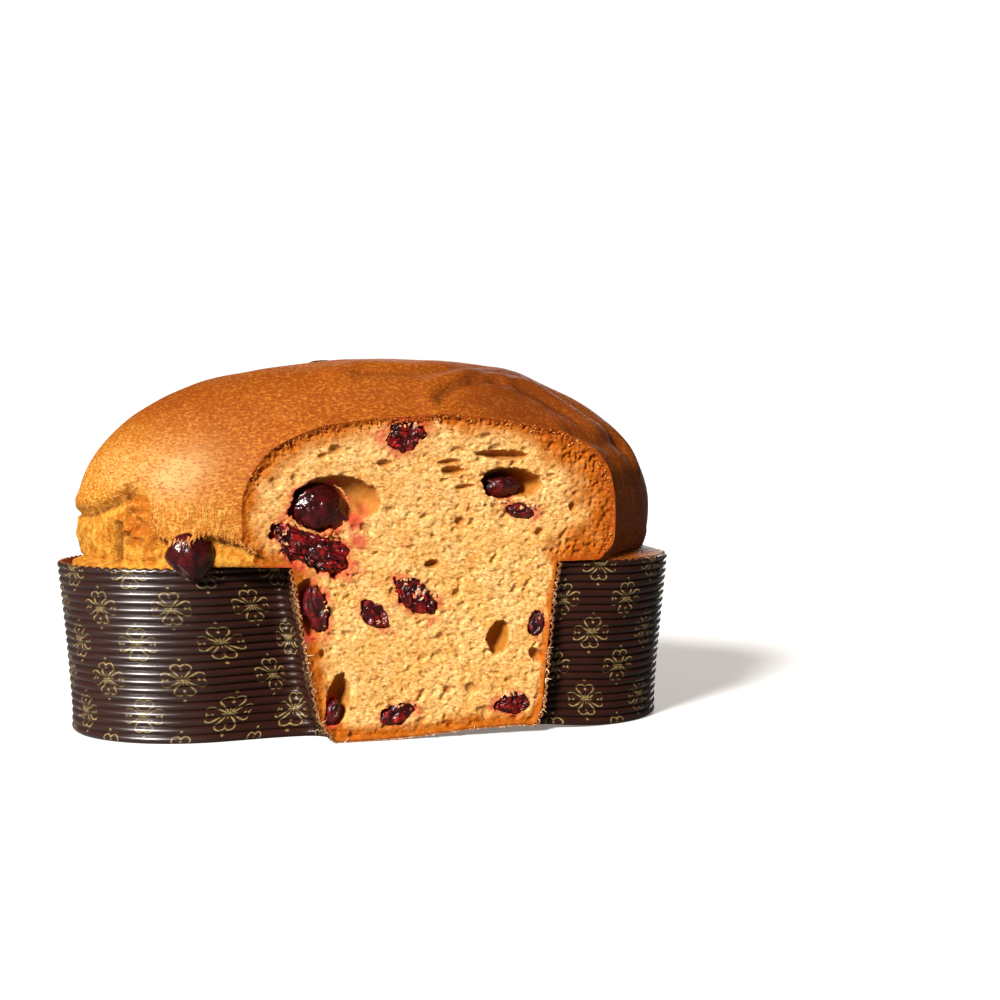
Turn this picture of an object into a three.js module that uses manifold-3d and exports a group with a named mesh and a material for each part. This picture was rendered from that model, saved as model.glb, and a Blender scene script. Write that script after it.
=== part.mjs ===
// A dove-shaped Easter cake in its pleated baking case, with one wing cut off.
// Millimetres, +Z up. The origin is on the floor, in the middle between the ends
// of the head and the tail. +X points to the head, and the cut faces -Y.
import * as THREE from 'three';
import { mergeVertices } from 'three/addons/utils/BufferGeometryUtils.js';
import Module from 'manifold-3d';

// ---------- driving dimensions ----------

// Plan of the mould at the floor: a round lobe at each end of the body, and two wings across it.
const TAIL = { x: -74.5, radius: 36 };
const HEAD = { x: 74.5, radius: 35.5 };
const WAIST_HALF_WIDTH = 28;
const WAIST_HALF_WIDTH_AT_FLOOR = 35;
const WAIST_INSET = 15;
const WING = { x: 17, radius: 37.5, reach: 43 };
const BODY_BLEND = 22;
const WING_BLEND = 9;

// Walls of the case: they lean outwards, and the wing's walls more so. Below the web height
// the paper is creased out towards the floor, in the corners between the lobes.
const WALL_HEIGHT = 62;
const PLEATS = 22;
const PLEAT_PITCH = WALL_HEIGHT / PLEATS;
const PLEAT_DEPTH = 0.9;
const PAPER_THICKNESS = 0.5;
const WEB_HEIGHT = 6 * PLEAT_PITCH;
const WALL_FLARE = 5.5;
const WING_FLARE = 11.4;
const WING_LEAN = 4.5;
const WING_FOOT = { height: 3 * PLEAT_PITCH, share: 0.38 };

// The cake above the rim: a long body and a lower pair of wings that bulge over the paper.
const BODY_CAP = { x: -0.5, z: 80, halfLength: 108.5, halfWidth: 57, rise: 57, drop: 60, power: 2.15 };
const WING_CAP = { x: 20.5, z: 77, halfLength: 58.5, halfWidth: 104, rise: 31, drop: 18, power: 3.4 };
const CAP_BLEND = 15;
const HEART = { x: 12, z: 78 };

// Where the dough shrank from the paper at the tail, and where its skin tore.
const SHRINK = { depth: 4, angle: 180, spread: 38, from: 38 };
const TEAR = { depth: 3.2, angle: 188, spread: 36, z: 81, height: 3.2 };

// The cut: its left foot, its turn from the long axis, and the arch of the base under it.
const CUT = { x: -21, y: -50.2, turn: 3.6 };
const ARCH = { height: 3, along: 62, width: 27, depth: 42 };

const GAP = 0.3;
const WALL_GAP = 0.85;
const RIM_CLEARANCE = 0.4;

// Fineness: points around, levels of a wall, and the slopes seen from the heart at which
// rings go round the cake above the rim, close together near the tear.
const AROUND = 60;
const WALL_LEVELS = [1, 2, 3, 4, 5, 6, 12].map((pleat) => pleat * PLEAT_PITCH);
const CAKE_LEVELS = [14, 18].map((pleat) => pleat * PLEAT_PITCH);
const BASE_SCALES = [0.45, 0.7, 0.9];
const LOW_RINGS = { count: 7, upTo: 12 };
const HIGH_RINGS = 10;

// Pieces in the cut face: along is measured from the cut's left foot, up from the floor,
// in from the cut. Sizes are full width, height and depth.
const CUT_CHERRIES = [
  { name: 'cherry_large', along: -4.4, up: 82, inward: 3, size: [20.5, 18.5, 17], detail: 2 },
  { name: 'cherry_jammy', along: -6.5, up: 66.6, inward: 1.2, size: [25, 10.5, 12], detail: 1, tilt: -28 },
  { name: 'cherry_under_crust', along: 26.5, up: 107.6, inward: 0.8, size: [13, 9.6, 11], detail: 1, tilt: 8 },
  { name: 'cherry_in_hole', along: 60.6, up: 87.7, inward: 7, size: [14, 8, 9], detail: 1, tilt: 0 },
  { name: 'cherry_sliver', along: 69.8, up: 80.3, inward: 0.8, size: [10, 4.8, 6], detail: 1, tilt: 12 },
  { name: 'cherry_crumbed', along: 30.8, up: 50.4, inward: 1, size: [15.5, 9.5, 11], detail: 1, tilt: -38 },
  { name: 'cherry_red', along: 15.6, up: 44.6, inward: 0.8, size: [10.5, 8, 8], detail: 1, tilt: -40 },
  { name: 'cherry_wall_left', along: -5.2, up: 47, inward: 1, size: [7.6, 16, 9], detail: 1, tilt: 14 },
  { name: 'cherry_floor_left', along: 0.8, up: 10.7, inward: 1.2, size: [4.8, 9, 6], detail: 1, tilt: -12 },
  { name: 'cherry_floor_middle', along: 23.6, up: 8.9, inward: 0.8, size: [11.5, 5.6, 8], detail: 1, tilt: 16 },
  { name: 'cherry_floor_right', along: 66.2, up: 10.9, inward: 0.8, size: [12, 6.2, 8], detail: 1, tilt: 8 },
  { name: 'cherry_wall_right', along: 75.2, up: 39.3, inward: 0.8, size: [5.6, 8.6, 7], detail: 1, tilt: -10 },
];
const CUT_CHERRY_PROUD = 0.6;

const HOLLOWS = [
  { along: 3.2, up: 85.6, inward: 0, size: [29, 17, 16], tilt: -8 },
  { along: 66.2, up: 90.7, inward: 1, size: [23.5, 10.6, 24], tilt: -6 },
  { along: 62.7, up: 100.9, inward: 0, size: [20, 3.4, 12], tilt: -2 },
  { along: 44.4, up: 95.2, inward: 0, size: [9, 3, 8], tilt: -4 },
  { along: 61, up: 34.6, inward: 0, size: [8.8, 12, 10], tilt: -14 },
  { along: 3.4, up: 15.6, inward: 1, size: [8.2, 18, 14], tilt: -8 },
  { along: 36.5, up: 62.1, inward: 0, size: [6, 3.4, 6], tilt: 0 },
  { along: -8, up: 48, inward: 0.5, size: [8, 20, 9], tilt: 14 },
];

// Whole cherries on the outside.
const HANGING_CHERRY = { x: -69.5, y: -45.2, z: 66.4, size: [17, 13, 17] };
const CROWN_CHERRY = { x: -18, y: 3, z: 135.4, size: [15.5, 9, 5] };
const RIM_SEAT = 1.3;

const COLOURS = {
  crumb: { color: 0xe0b068, roughness: 0.85 },
  paper: { color: 0x3a1c18, roughness: 0.6 },
  cherry: { color: 0x2a0508, roughness: 0.25 },
};

// ---------- small maths ----------

const wasm = await Module();
wasm.setup();

const toRadians = THREE.MathUtils.degToRad;
const { lerp, smoothstep } = THREE.MathUtils;

/** The smaller of two distances, blended where they are within `blend` of each other. */
function smoothMin(a, b, blend) {
  const near = Math.max(blend - Math.abs(a - b), 0) / blend;
  return Math.min(a, b) - near * near * blend * 0.25;
}

/** Distance from a point to the segment between two points. */
function distanceToSegment(x, y, ax, ay, bx, by) {
  const dx = bx - ax;
  const dy = by - ay;
  const along = THREE.MathUtils.clamp(((x - ax) * dx + (y - ay) * dy) / (dx * dx + dy * dy), 0, 1);
  return Math.hypot(x - ax - along * dx, y - ay - along * dy);
}

/** How strongly a feature at `angle` degrees, `spread` degrees wide, shows at `theta` radians. */
function bump(theta, angle, spread) {
  const off = Math.atan2(Math.sin(theta - toRadians(angle)), Math.cos(theta - toRadians(angle)));
  return Math.exp(-((off / toRadians(spread)) ** 2));
}

/** The distance at which a growing step first leaves a solid, found by halving. */
function findEdge(outsideness) {
  let near = 3;
  let far = 200;
  for (let step = 0; step < 40; step += 1) {
    const middle = (near + far) / 2;
    if (outsideness(middle) < 0) {
      near = middle;
    } else {
      far = middle;
    }
  }
  return (near + far) / 2;
}

// ---------- plan and cap ----------

/** Share of the wing's flare reached at height z: quick at its foot, then steady. */
function wingRise(z) {
  const foot = Math.min(Math.max(z, 0) / WING_FOOT.height, 1);
  const wall = Math.max(z - WING_FOOT.height, 0) / (WALL_HEIGHT - WING_FOOT.height);
  return WING_FOOT.share * foot + (1 - WING_FOOT.share) * wall;
}

/** Distance outside the mould's plan at height z. */
function mouldDistance(x, y, z) {
  const rise = Math.max(z, 0) / WALL_HEIGHT;
  const flare = WALL_FLARE * rise;
  const web = Math.min(Math.max(z, 0) / WEB_HEIGHT, 1);
  const waist = lerp(WAIST_HALF_WIDTH_AT_FLOOR, WAIST_HALF_WIDTH, web);
  const tail = Math.hypot(x - TAIL.x, y) - TAIL.radius - flare;
  const head = Math.hypot(x - HEAD.x, y) - HEAD.radius - flare;
  const body = distanceToSegment(x, y, TAIL.x + WAIST_INSET, 0, HEAD.x - WAIST_INSET, 0) - waist - flare;
  const wingX = WING.x - WING_LEAN * wingRise(z);
  const wingWidth = WING.radius + WING_FLARE * wingRise(z);
  const wings = distanceToSegment(x, y, wingX, -WING.reach, wingX, WING.reach) - wingWidth;
  const ends = smoothMin(smoothMin(tail, body, BODY_BLEND), head, BODY_BLEND);
  return smoothMin(ends, wings, WING_BLEND);
}

/** Radius around the heart of the cake of the mould's outline, moved in by `inset`. */
function mouldRadius(theta, z, inset = 0) {
  const dx = Math.cos(theta);
  const dy = Math.sin(theta);
  return findEdge((reach) => mouldDistance(HEART.x + reach * dx, reach * dy, z) + inset);
}

/** Distance-like value outside one rounded block of dough. */
function blockDistance(block, x, y, z) {
  const height = z > block.z ? (z - block.z) / block.rise : (block.z - z) / block.drop;
  const sum = Math.abs((x - block.x) / block.halfLength) ** block.power
    + Math.abs(y / block.halfWidth) ** block.power
    + Math.abs(height) ** block.power;
  return (sum ** (1 / block.power) - 1) * Math.min(block.halfLength, block.halfWidth, block.rise);
}

/** Distance-like value outside the cake above the rim. */
function capDistance(x, y, z) {
  return smoothMin(blockDistance(BODY_CAP, x, y, z), blockDistance(WING_CAP, x, y, z), CAP_BLEND);
}

/** A point in the frame of the cut: along it, up, and in from it. */
function fromCut(along, up, inward) {
  const turn = toRadians(CUT.turn);
  return new THREE.Vector3(
    CUT.x + along * Math.cos(turn) - inward * Math.sin(turn),
    CUT.y + along * Math.sin(turn) + inward * Math.cos(turn),
    up,
  );
}

/** How far the base is arched off the floor at a point of the plan. */
function archHeight(x, y) {
  const turn = toRadians(CUT.turn);
  const along = (x - CUT.x) * Math.cos(turn) + (y - CUT.y) * Math.sin(turn);
  const inward = -(x - CUT.x) * Math.sin(turn) + (y - CUT.y) * Math.cos(turn);
  const across = Math.exp(-(((along - ARCH.along) / ARCH.width) ** 2));
  return ARCH.height * across * (1 - smoothstep(inward, 0, ARCH.depth));
}

// Angles around the heart, set so that the rim is divided into even steps.
function evenAngles(count) {
  const fine = 1440;
  const lengths = [0];
  let previous = null;
  for (let step = 0; step <= fine; step += 1) {
    const theta = (step / fine) * Math.PI * 2;
    const radius = mouldRadius(theta, WALL_HEIGHT);
    const point = new THREE.Vector2(radius * Math.cos(theta), radius * Math.sin(theta));
    if (previous) {
      lengths.push(lengths[step - 1] + point.distanceTo(previous));
    }
    previous = point;
  }
  const angles = [];
  let step = 0;
  for (let index = 0; index < count; index += 1) {
    const target = (index / count) * lengths[fine];
    while (lengths[step + 1] < target) {
      step += 1;
    }
    const part = (target - lengths[step]) / (lengths[step + 1] - lengths[step]);
    angles.push(((step + part) / fine) * Math.PI * 2);
  }
  return angles;
}

const ANGLES = evenAngles(AROUND);

// ---------- building solids ----------

/** A closed skin through rings of points, from the middle of the first to the middle of the last. */
function skin(rings, firstMiddle, lastMiddle) {
  const positions = [firstMiddle.toArray()];
  rings.forEach((ring) => ring.forEach((point) => positions.push(point.toArray())));
  positions.push(lastMiddle.toArray());
  const count = rings[0].length;
  const at = (ring, index) => 1 + ring * count + (index % count);
  const last = positions.length - 1;
  const faces = [];
  for (let index = 0; index < count; index += 1) {
    faces.push(0, at(0, index + 1), at(0, index));
    faces.push(last, at(rings.length - 1, index), at(rings.length - 1, index + 1));
    for (let ring = 0; ring + 1 < rings.length; ring += 1) {
      faces.push(at(ring, index), at(ring, index + 1), at(ring + 1, index + 1));
      faces.push(at(ring, index), at(ring + 1, index + 1), at(ring + 1, index));
    }
  }
  const geometry = new THREE.BufferGeometry();
  geometry.setAttribute('position', new THREE.Float32BufferAttribute(positions.flat(), 3));
  geometry.setIndex(faces);
  return geometry;
}

/** The solid of a closed geometry. */
function toSolid(geometry) {
  const bare = geometry.clone();
  bare.deleteAttribute('normal');
  bare.deleteAttribute('uv');
  const merged = mergeVertices(bare, 1e-4);
  return new wasm.Manifold(new wasm.Mesh({
    numProp: 3,
    vertProperties: new Float32Array(merged.attributes.position.array),
    triVerts: new Uint32Array(merged.index.array),
  }));
}

/** The geometry of a solid. */
function toGeometry(solid) {
  const mesh = solid.getMesh();
  const geometry = new THREE.BufferGeometry();
  geometry.setAttribute('position', new THREE.Float32BufferAttribute(mesh.vertProperties, 3));
  geometry.setIndex(Array.from(mesh.triVerts));
  return geometry;
}

/** A ring of the outline at one height, moved in by `inset`, lifted with the arch of the base. */
function outlineRing(z, insetAt, scale = 1) {
  const fade = 1 - smoothstep(z, 0, WALL_HEIGHT / 2);
  return ANGLES.map((theta) => {
    const radius = mouldRadius(theta, z, insetAt(theta)) * scale;
    const x = HEART.x + radius * Math.cos(theta);
    const y = radius * Math.sin(theta);
    return new THREE.Vector3(x, y, z + archHeight(x, y) * fade);
  });
}

/** Rings that carry the arch across a base at height z, from the middle outwards. */
function baseRings(z, inset) {
  return BASE_SCALES.map((scale) => outlineRing(z, () => inset, scale));
}

/** The case: a pleated outer wall, a smooth inner wall and a base. */
function caseSolid() {
  const rings = baseRings(0, 0);
  for (let pleat = 0; pleat < PLEATS; pleat += 1) {
    rings.push(outlineRing(pleat * PLEAT_PITCH, () => 0));
    rings.push(outlineRing((pleat + 0.5) * PLEAT_PITCH, () => -PLEAT_DEPTH));
  }
  rings.push(outlineRing(WALL_HEIGHT, () => 0));
  [PAPER_THICKNESS, ...WALL_LEVELS, WALL_HEIGHT].reverse().forEach((z) => {
    rings.push(outlineRing(z, () => PAPER_THICKNESS));
  });
  baseRings(PAPER_THICKNESS, PAPER_THICKNESS).reverse().forEach((ring) => rings.push(ring));
  return toSolid(skin(
    rings,
    new THREE.Vector3(HEART.x, 0, 0),
    new THREE.Vector3(HEART.x, 0, PAPER_THICKNESS),
  ));
}

/** How far the cake stands in from the paper at an angle and a height. */
function shrinkage(theta, z) {
  const rise = smoothstep(z, SHRINK.from, WALL_HEIGHT);
  return PAPER_THICKNESS + WALL_GAP + SHRINK.depth * bump(theta, SHRINK.angle, SHRINK.spread) * rise;
}

/** A ring of the cake above the rim, `part` of the way between two slopes seen from the heart. */
function capRing(part, from, to) {
  const lowest = WALL_HEIGHT + RIM_CLEARANCE;
  return ANGLES.map((theta) => {
    const rimRadius = mouldRadius(theta, WALL_HEIGHT, shrinkage(theta, WALL_HEIGHT));
    const rimSlope = Math.atan2(lowest - HEART.z, rimRadius);
    const slope = lerp(from === null ? rimSlope : toRadians(from), toRadians(to), part);
    const flat = Math.cos(slope);
    const up = Math.sin(slope);
    const reach = findEdge((length) => capDistance(
      HEART.x + length * flat * Math.cos(theta),
      length * flat * Math.sin(theta),
      HEART.z + length * up,
    ));
    const z = Math.max(HEART.z + reach * up, lowest);
    const tear = TEAR.depth * bump(theta, TEAR.angle, TEAR.spread)
      * Math.exp(-(((z - TEAR.z) / TEAR.height) ** 2));
    const radius = reach * flat - tear;
    return new THREE.Vector3(HEART.x + radius * Math.cos(theta), radius * Math.sin(theta), z);
  });
}

/** The cake, whole, before its wing is cut off. */
function doughSolid() {
  const floor = PAPER_THICKNESS + WALL_GAP;
  const rings = baseRings(floor, floor);
  [floor, ...WALL_LEVELS, ...CAKE_LEVELS, WALL_HEIGHT, WALL_HEIGHT + RIM_CLEARANCE].forEach((z) => {
    rings.push(outlineRing(z, (theta) => shrinkage(theta, z)));
  });
  for (let ring = 1; ring <= LOW_RINGS.count; ring += 1) {
    rings.push(capRing(ring / LOW_RINGS.count, null, LOW_RINGS.upTo));
  }
  for (let ring = 1; ring < HIGH_RINGS; ring += 1) {
    rings.push(capRing(ring / HIGH_RINGS, LOW_RINGS.upTo, 90));
  }
  const top = findEdge((length) => capDistance(HEART.x, 0, HEART.z + length));
  return toSolid(skin(
    rings,
    new THREE.Vector3(HEART.x, 0, floor),
    new THREE.Vector3(HEART.x, 0, HEART.z + top),
  ));
}

/** Everything in front of the cut, moved out from it by `proud`. */
function cutAway(proud = 0) {
  const size = 400;
  const block = new THREE.BoxGeometry(size, size, size);
  const middle = fromCut(0, 0, -size / 2 - proud);
  block.rotateZ(toRadians(CUT.turn));
  block.translate(middle.x, middle.y, middle.z);
  return toSolid(block);
}

/** An uneven round piece, lying in the frame of the cut. */
function lump(piece, grow = 0, unevenness = 0.08) {
  const ball = new THREE.IcosahedronGeometry(1, piece.detail ?? 1);
  const position = ball.attributes.position;
  const point = new THREE.Vector3();
  const seed = piece.along ?? piece.x;
  for (let index = 0; index < position.count; index += 1) {
    point.fromBufferAttribute(position, index).normalize();
    const wave = Math.sin(point.x * 4 + seed) + Math.sin(point.y * 5 + seed * 2) + Math.sin(point.z * 4 - seed);
    point.multiplyScalar(1 + (unevenness * wave) / 2);
    position.setXYZ(index, point.x, point.y, point.z);
  }
  return ball.scale(
    piece.size[0] / 2 + grow,
    piece.size[1] / 2 + grow,
    piece.size[2] / 2 + grow,
  );
}

/** A lump whose size is given as width, height and depth, set into the cut face. */
function inCut(piece, grow = 0) {
  const ball = lump(piece, grow);
  ball.rotateX(Math.PI / 2);
  ball.rotateY(toRadians(-(piece.tilt ?? 0)));
  ball.rotateZ(toRadians(CUT.turn));
  const place = fromCut(piece.along, piece.up, piece.inward);
  return ball.translate(place.x, place.y, place.z);
}

/** A lump whose size is given along X, Y and Z, on the outside of the cake. */
function onCrust(piece, grow = 0) {
  return lump({ ...piece, detail: 2 }, grow).translate(piece.x, piece.y, piece.z);
}

/** The case without its pleats, a little larger, up to just above the rim. */
function caseEnvelope() {
  const rings = [0, WALL_HEIGHT / 2, WALL_HEIGHT + RIM_CLEARANCE]
    .map((z) => outlineRing(z, () => -RIM_SEAT));
  return toSolid(skin(
    rings,
    new THREE.Vector3(HEART.x, 0, 0),
    new THREE.Vector3(HEART.x, 0, WALL_HEIGHT + RIM_CLEARANCE),
  ));
}

// ---------- the model ----------

const model = new THREE.Group();

/** Adds one named piece to the model. */
function add(name, solid, finish) {
  const material = new THREE.MeshStandardMaterial({ ...finish, metalness: 0 });
  const mesh = new THREE.Mesh(toGeometry(solid), material);
  mesh.name = name;
  model.add(mesh);
}

const front = cutAway();
const frontOfCherries = cutAway(CUT_CHERRY_PROUD);
const envelope = caseEnvelope();
const dough = doughSolid();
let cake = dough.subtract(front);

HOLLOWS.forEach((hollow) => {
  cake = cake.subtract(toSolid(inCut(hollow)));
});

CUT_CHERRIES.forEach((piece) => {
  cake = cake.subtract(toSolid(inCut(piece, GAP)));
  const whole = toSolid(inCut(piece));
  add(piece.name, whole.intersect(dough).subtract(frontOfCherries), COLOURS.cherry);
});

[['cherry_hanging', HANGING_CHERRY], ['cherry_crown', CROWN_CHERRY]].forEach(([name, piece]) => {
  cake = cake.subtract(toSolid(onCrust(piece, GAP)));
  add(name, toSolid(onCrust(piece)).subtract(envelope), COLOURS.cherry);
});

add('cake', cake, COLOURS.crumb);
add('paper_case', caseSolid().subtract(front), COLOURS.paper);

export default model;
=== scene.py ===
"""A dove-shaped Easter cake in its pleated baking case, cut open along one side.

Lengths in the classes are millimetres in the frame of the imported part: +X points to the
head, the cut faces -Y and +Z is up. Meshes are written in metres.
"""

import logging
import math
from collections import Counter
from collections.abc import Callable
from dataclasses import dataclass, field
from enum import Enum

import bpy
import numpy as np
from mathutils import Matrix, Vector
from mathutils.geometry import delaunay_2d_cdt


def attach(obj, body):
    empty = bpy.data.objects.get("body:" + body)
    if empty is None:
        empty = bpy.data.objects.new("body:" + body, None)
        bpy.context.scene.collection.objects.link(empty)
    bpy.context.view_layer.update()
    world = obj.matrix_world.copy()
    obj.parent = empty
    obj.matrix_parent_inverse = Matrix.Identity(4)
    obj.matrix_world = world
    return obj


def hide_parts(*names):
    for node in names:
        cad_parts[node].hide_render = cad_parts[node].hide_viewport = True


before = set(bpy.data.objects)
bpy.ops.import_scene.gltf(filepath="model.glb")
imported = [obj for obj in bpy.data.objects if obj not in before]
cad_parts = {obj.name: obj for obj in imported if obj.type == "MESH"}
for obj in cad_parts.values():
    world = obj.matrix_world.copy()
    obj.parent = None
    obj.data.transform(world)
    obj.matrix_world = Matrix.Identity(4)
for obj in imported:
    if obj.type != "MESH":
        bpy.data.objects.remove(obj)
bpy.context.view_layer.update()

logging.basicConfig(level=logging.INFO, format="%(message)s")
log = logging.getLogger("colomba")

MM = 0.001
HANGING = (-69.5, -44.8, 66)  # middle of the cherry that hangs over the rim

Array = np.ndarray
Piece = bpy.types.Object
Material = bpy.types.Material
Socket = bpy.types.NodeSocket
Pair = tuple[float, float]
Triple = tuple[float, float, float]
Colour = Triple


# ---- small maths ----


def smooth(value: Array, low: float | Array, high: float | Array) -> Array:
    """A step from 0 at `low` to 1 at `high`, with soft ends."""
    t = capped((value - low) / (high - low))
    return t * t * (3 - 2 * t)


def fall(value: Array, low: float | Array, high: float | Array) -> Array:
    """A step from 1 at `low` to 0 at `high`, with soft ends."""
    return 1 - smooth(value, low, high)


def capped(value: Array) -> Array:
    """The values kept between 0 and 1."""
    return np.clip(value, 0, 1)


def turned(degrees: float) -> Pair:
    """Cosine and sine of an angle in degrees."""
    return math.cos(math.radians(degrees)), math.sin(math.radians(degrees))


def on_plane(along: Array, up: Array) -> Array:
    """Places in the cut's plane as points of space, for the noise."""
    return np.stack([along, up, np.zeros_like(up)], axis=-1)


def window(value: Array, low: float, high: float, soft: float) -> Array:
    """1 between `low` and `high`, falling to 0 within `soft` outside them."""
    return smooth(value, low - soft, low) * fall(value, high, high + soft)


def hump(value: Array, middle: float, width: float) -> Array:
    """A bell around `middle`."""
    return np.exp(-(((value - middle) / width) ** 2))


def smooth_min(a: Array, b: Array, blend: float) -> Array:
    """The smaller of two distances, blended where they are within `blend` of each other."""
    near = np.maximum(blend - np.abs(a - b), 0) / blend
    return np.minimum(a, b) - near * near * blend * 0.25


def segment_distance(points: Array, start: Array, end: Array) -> Array:
    """Distance of points from a segment, in as many dimensions as the points have.

    Args:
        points: Points.
        start: One end.
        end: The other end.

    Returns:
        One distance per point.
    """
    line = end - start
    along = capped(((points - start) @ line) / (line @ line))
    return np.linalg.norm(points - start - along[..., None] * line, axis=-1)


def find_edge(outsideness: Callable[[Array], Array], shape: tuple[int, ...]) -> Array:
    """The reach at which a growing ray first leaves a solid, found by halving.

    Args:
        outsideness: Takes reaches and returns a value below 0 inside the solid.
        shape: Shape of the array of rays.

    Returns:
        The reach of each ray.
    """
    near = np.full(shape, 3.0)
    far = np.full(shape, 200.0)
    for _ in range(36):
        middle = (near + far) / 2
        inside = outsideness(middle) < 0.0
        near = np.where(inside, middle, near)
        far = np.where(inside, far, middle)
    return (near + far) / 2


def noise(points: Array, size: float, seed: int) -> Array:
    """Smooth noise from -1 to 1 with lumps of about `size`.

    Args:
        points: Points of space.
        size: Spacing of the lumps.
        seed: Picks one pattern.

    Returns:
        One number per point.
    """
    grid = points / size + seed * 17.31
    base = np.floor(grid).astype(np.int64)
    part = grid - base
    part = part * part * (3 - 2 * part)
    total = np.zeros(points.shape[:-1])
    for corner in range(8):
        step = np.array([corner & 1, (corner >> 1) & 1, corner >> 2])
        cell = base + step
        key = cell[..., 0] * 73856093 ^ cell[..., 1] * 19349663 ^ cell[..., 2] * 83492791 ^ seed * 961748927
        key = (key ^ (key >> 13)) * 1274126177 & 0xFFFFFFFF
        key = (key ^ (key >> 16)) & 0xFFFF
        weight = np.prod(np.where(step == 1, part, 1 - part), axis=-1)
        total += weight * (key / 32767.5 - 1.0)
    return total


def fractal(points: Array, size: float, seed: int, octaves: int = 3) -> Array:
    """Noise with finer and fainter lumps added to the large ones.

    Args:
        points: Points of space.
        size: Spacing of the largest lumps.
        seed: Picks one pattern.
        octaves: Number of layers.

    Returns:
        One number per point.
    """
    total = np.zeros(points.shape[:-1])
    for octave in range(octaves):
        total += noise(points, size / 2**octave, seed + octave) * 0.5**octave
    return total


# ---- shape of the cake ----


@dataclass(frozen=True)
class Mould:
    """Plan of the baking case at each height, and its leaning walls."""

    tail: Pair = (-74.5, 36)
    head: Pair = (74.5, 35.5)
    waist: float = 28.0
    waist_at_floor: float = 35.0
    waist_inset: float = 15.0
    wing_x: float = 17.0
    wing_radius: float = 37.5
    wing_reach: float = 43.0
    body_blend: float = 22.0
    wing_blend: float = 9.0
    height: float = 62.0
    pleats: int = 22
    flare: float = 5.5
    wing_flare: float = 11.4
    wing_lean: float = 4.5
    foot_pleats: int = 3
    foot_share: float = 0.38
    web_pleats: int = 6
    heart: float = 12.0

    @property
    def pitch(self) -> float:
        """Height of one pleat."""
        return self.height / self.pleats

    def wing_rise(self, z: Array) -> Array:
        """Share of the wing's flare reached at height z.

        Args:
            z: Heights.

        Returns:
            Shares from 0 to 1.
        """
        foot = self.foot_pleats * self.pitch
        low = capped(z / foot)
        high = np.maximum(z - foot, 0) / (self.height - foot)
        return self.foot_share * low + (1 - self.foot_share) * high

    def distance(self, x: Array, y: Array, z: Array) -> Array:
        """Distance outside the plan at height z.

        Args:
            x: Along X.
            y: Along Y.
            z: Heights.

        Returns:
            Distances, below 0 inside.
        """
        flare = self.flare * np.maximum(z, 0) / self.height
        web = capped(z / (self.web_pleats * self.pitch))
        waist = self.waist_at_floor + (self.waist - self.waist_at_floor) * web
        tail = np.hypot(x - self.tail[0], y) - self.tail[1] - flare
        head = np.hypot(x - self.head[0], y) - self.head[1] - flare
        low, high = self.tail[0] + self.waist_inset, self.head[0] - self.waist_inset
        body = np.hypot(x - np.clip(x, low, high), y) - waist - flare
        rise = self.wing_rise(z)
        wing_x = self.wing_x - self.wing_lean * rise
        across = y - np.clip(y, -self.wing_reach, self.wing_reach)
        wings = np.hypot(x - wing_x, across) - self.wing_radius - self.wing_flare * rise
        ends = smooth_min(smooth_min(tail, body, self.body_blend), head, self.body_blend)
        return smooth_min(ends, wings, self.wing_blend)

    def radius(self, theta: Array, z: Array, inset: Array) -> Array:
        """Radius around the heart of the outline moved in by `inset`.

        Args:
            theta: In radians.
            z: Heights.
            inset: Its way inward.

        Returns:
            Radii around the heart.
        """
        flat, side = np.cos(theta), np.sin(theta)
        shape = np.broadcast(theta, z, inset).shape
        return find_edge(
            lambda reach: self.distance(self.heart + reach * flat, reach * side, z) + inset, shape
        )

    def ring(self, theta: Array, z: float, inset: Array, scale: float = 1.0) -> Array:
        """Points of the outline at height z, moved in by `inset` and drawn in by `scale`.

        Args:
            theta: In radians.
            z: Height.
            inset: Its way inward.
            scale: Share of the radius.

        Returns:
            One point per angle.
        """
        radius = self.radius(theta, np.asarray(z), np.asarray(inset)) * scale
        return np.stack(
            [self.heart + radius * np.cos(theta), radius * np.sin(theta), np.full_like(radius, z)], axis=-1
        )

    def outward(self, points: Array) -> Array:
        """Level directions out of the wall at points near it.

        Args:
            points: Points of space.

        Returns:
            One direction per point.
        """
        x, y, z = points[..., 0], points[..., 1], points[..., 2]
        step = 0.3
        across = self.distance(x + step, y, z) - self.distance(x - step, y, z)
        along = self.distance(x, y + step, z) - self.distance(x, y - step, z)
        length = np.maximum(np.hypot(across, along), 1e-9)
        return np.stack([across / length, along / length, np.zeros_like(x)], axis=-1)

    def angles(self, count: int, start: float, fine: Triple) -> tuple[Array, Array]:
        """Angles that divide the rim into steps, shorter around one place.

        Args:
            count: Number of steps.
            start: First angle, in degrees.
            fine: Angle of the finest steps and how wide they reach, in degrees, and how much finer.

        Returns:
            The angles in radians, and the length along the rim at each.
        """
        turn = np.linspace(0, 2 * math.pi, 4001)
        theta = math.radians(start) + turn
        rim = self.ring(theta, self.height, np.zeros_like(theta))
        steps = np.linalg.norm(np.diff(rim, axis=0), axis=1)
        off = np.degrees(theta[1:]) % 360.0 - fine[0]
        crowd = np.concatenate([[0.0], np.cumsum(steps * (1 + fine[2] * hump(off, 0, fine[1])))])
        length = np.concatenate([[0.0], np.cumsum(steps)])
        wanted = np.arange(count) / count * crowd[-1]
        return np.interp(wanted, crowd, theta), np.interp(wanted, crowd, length)


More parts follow.
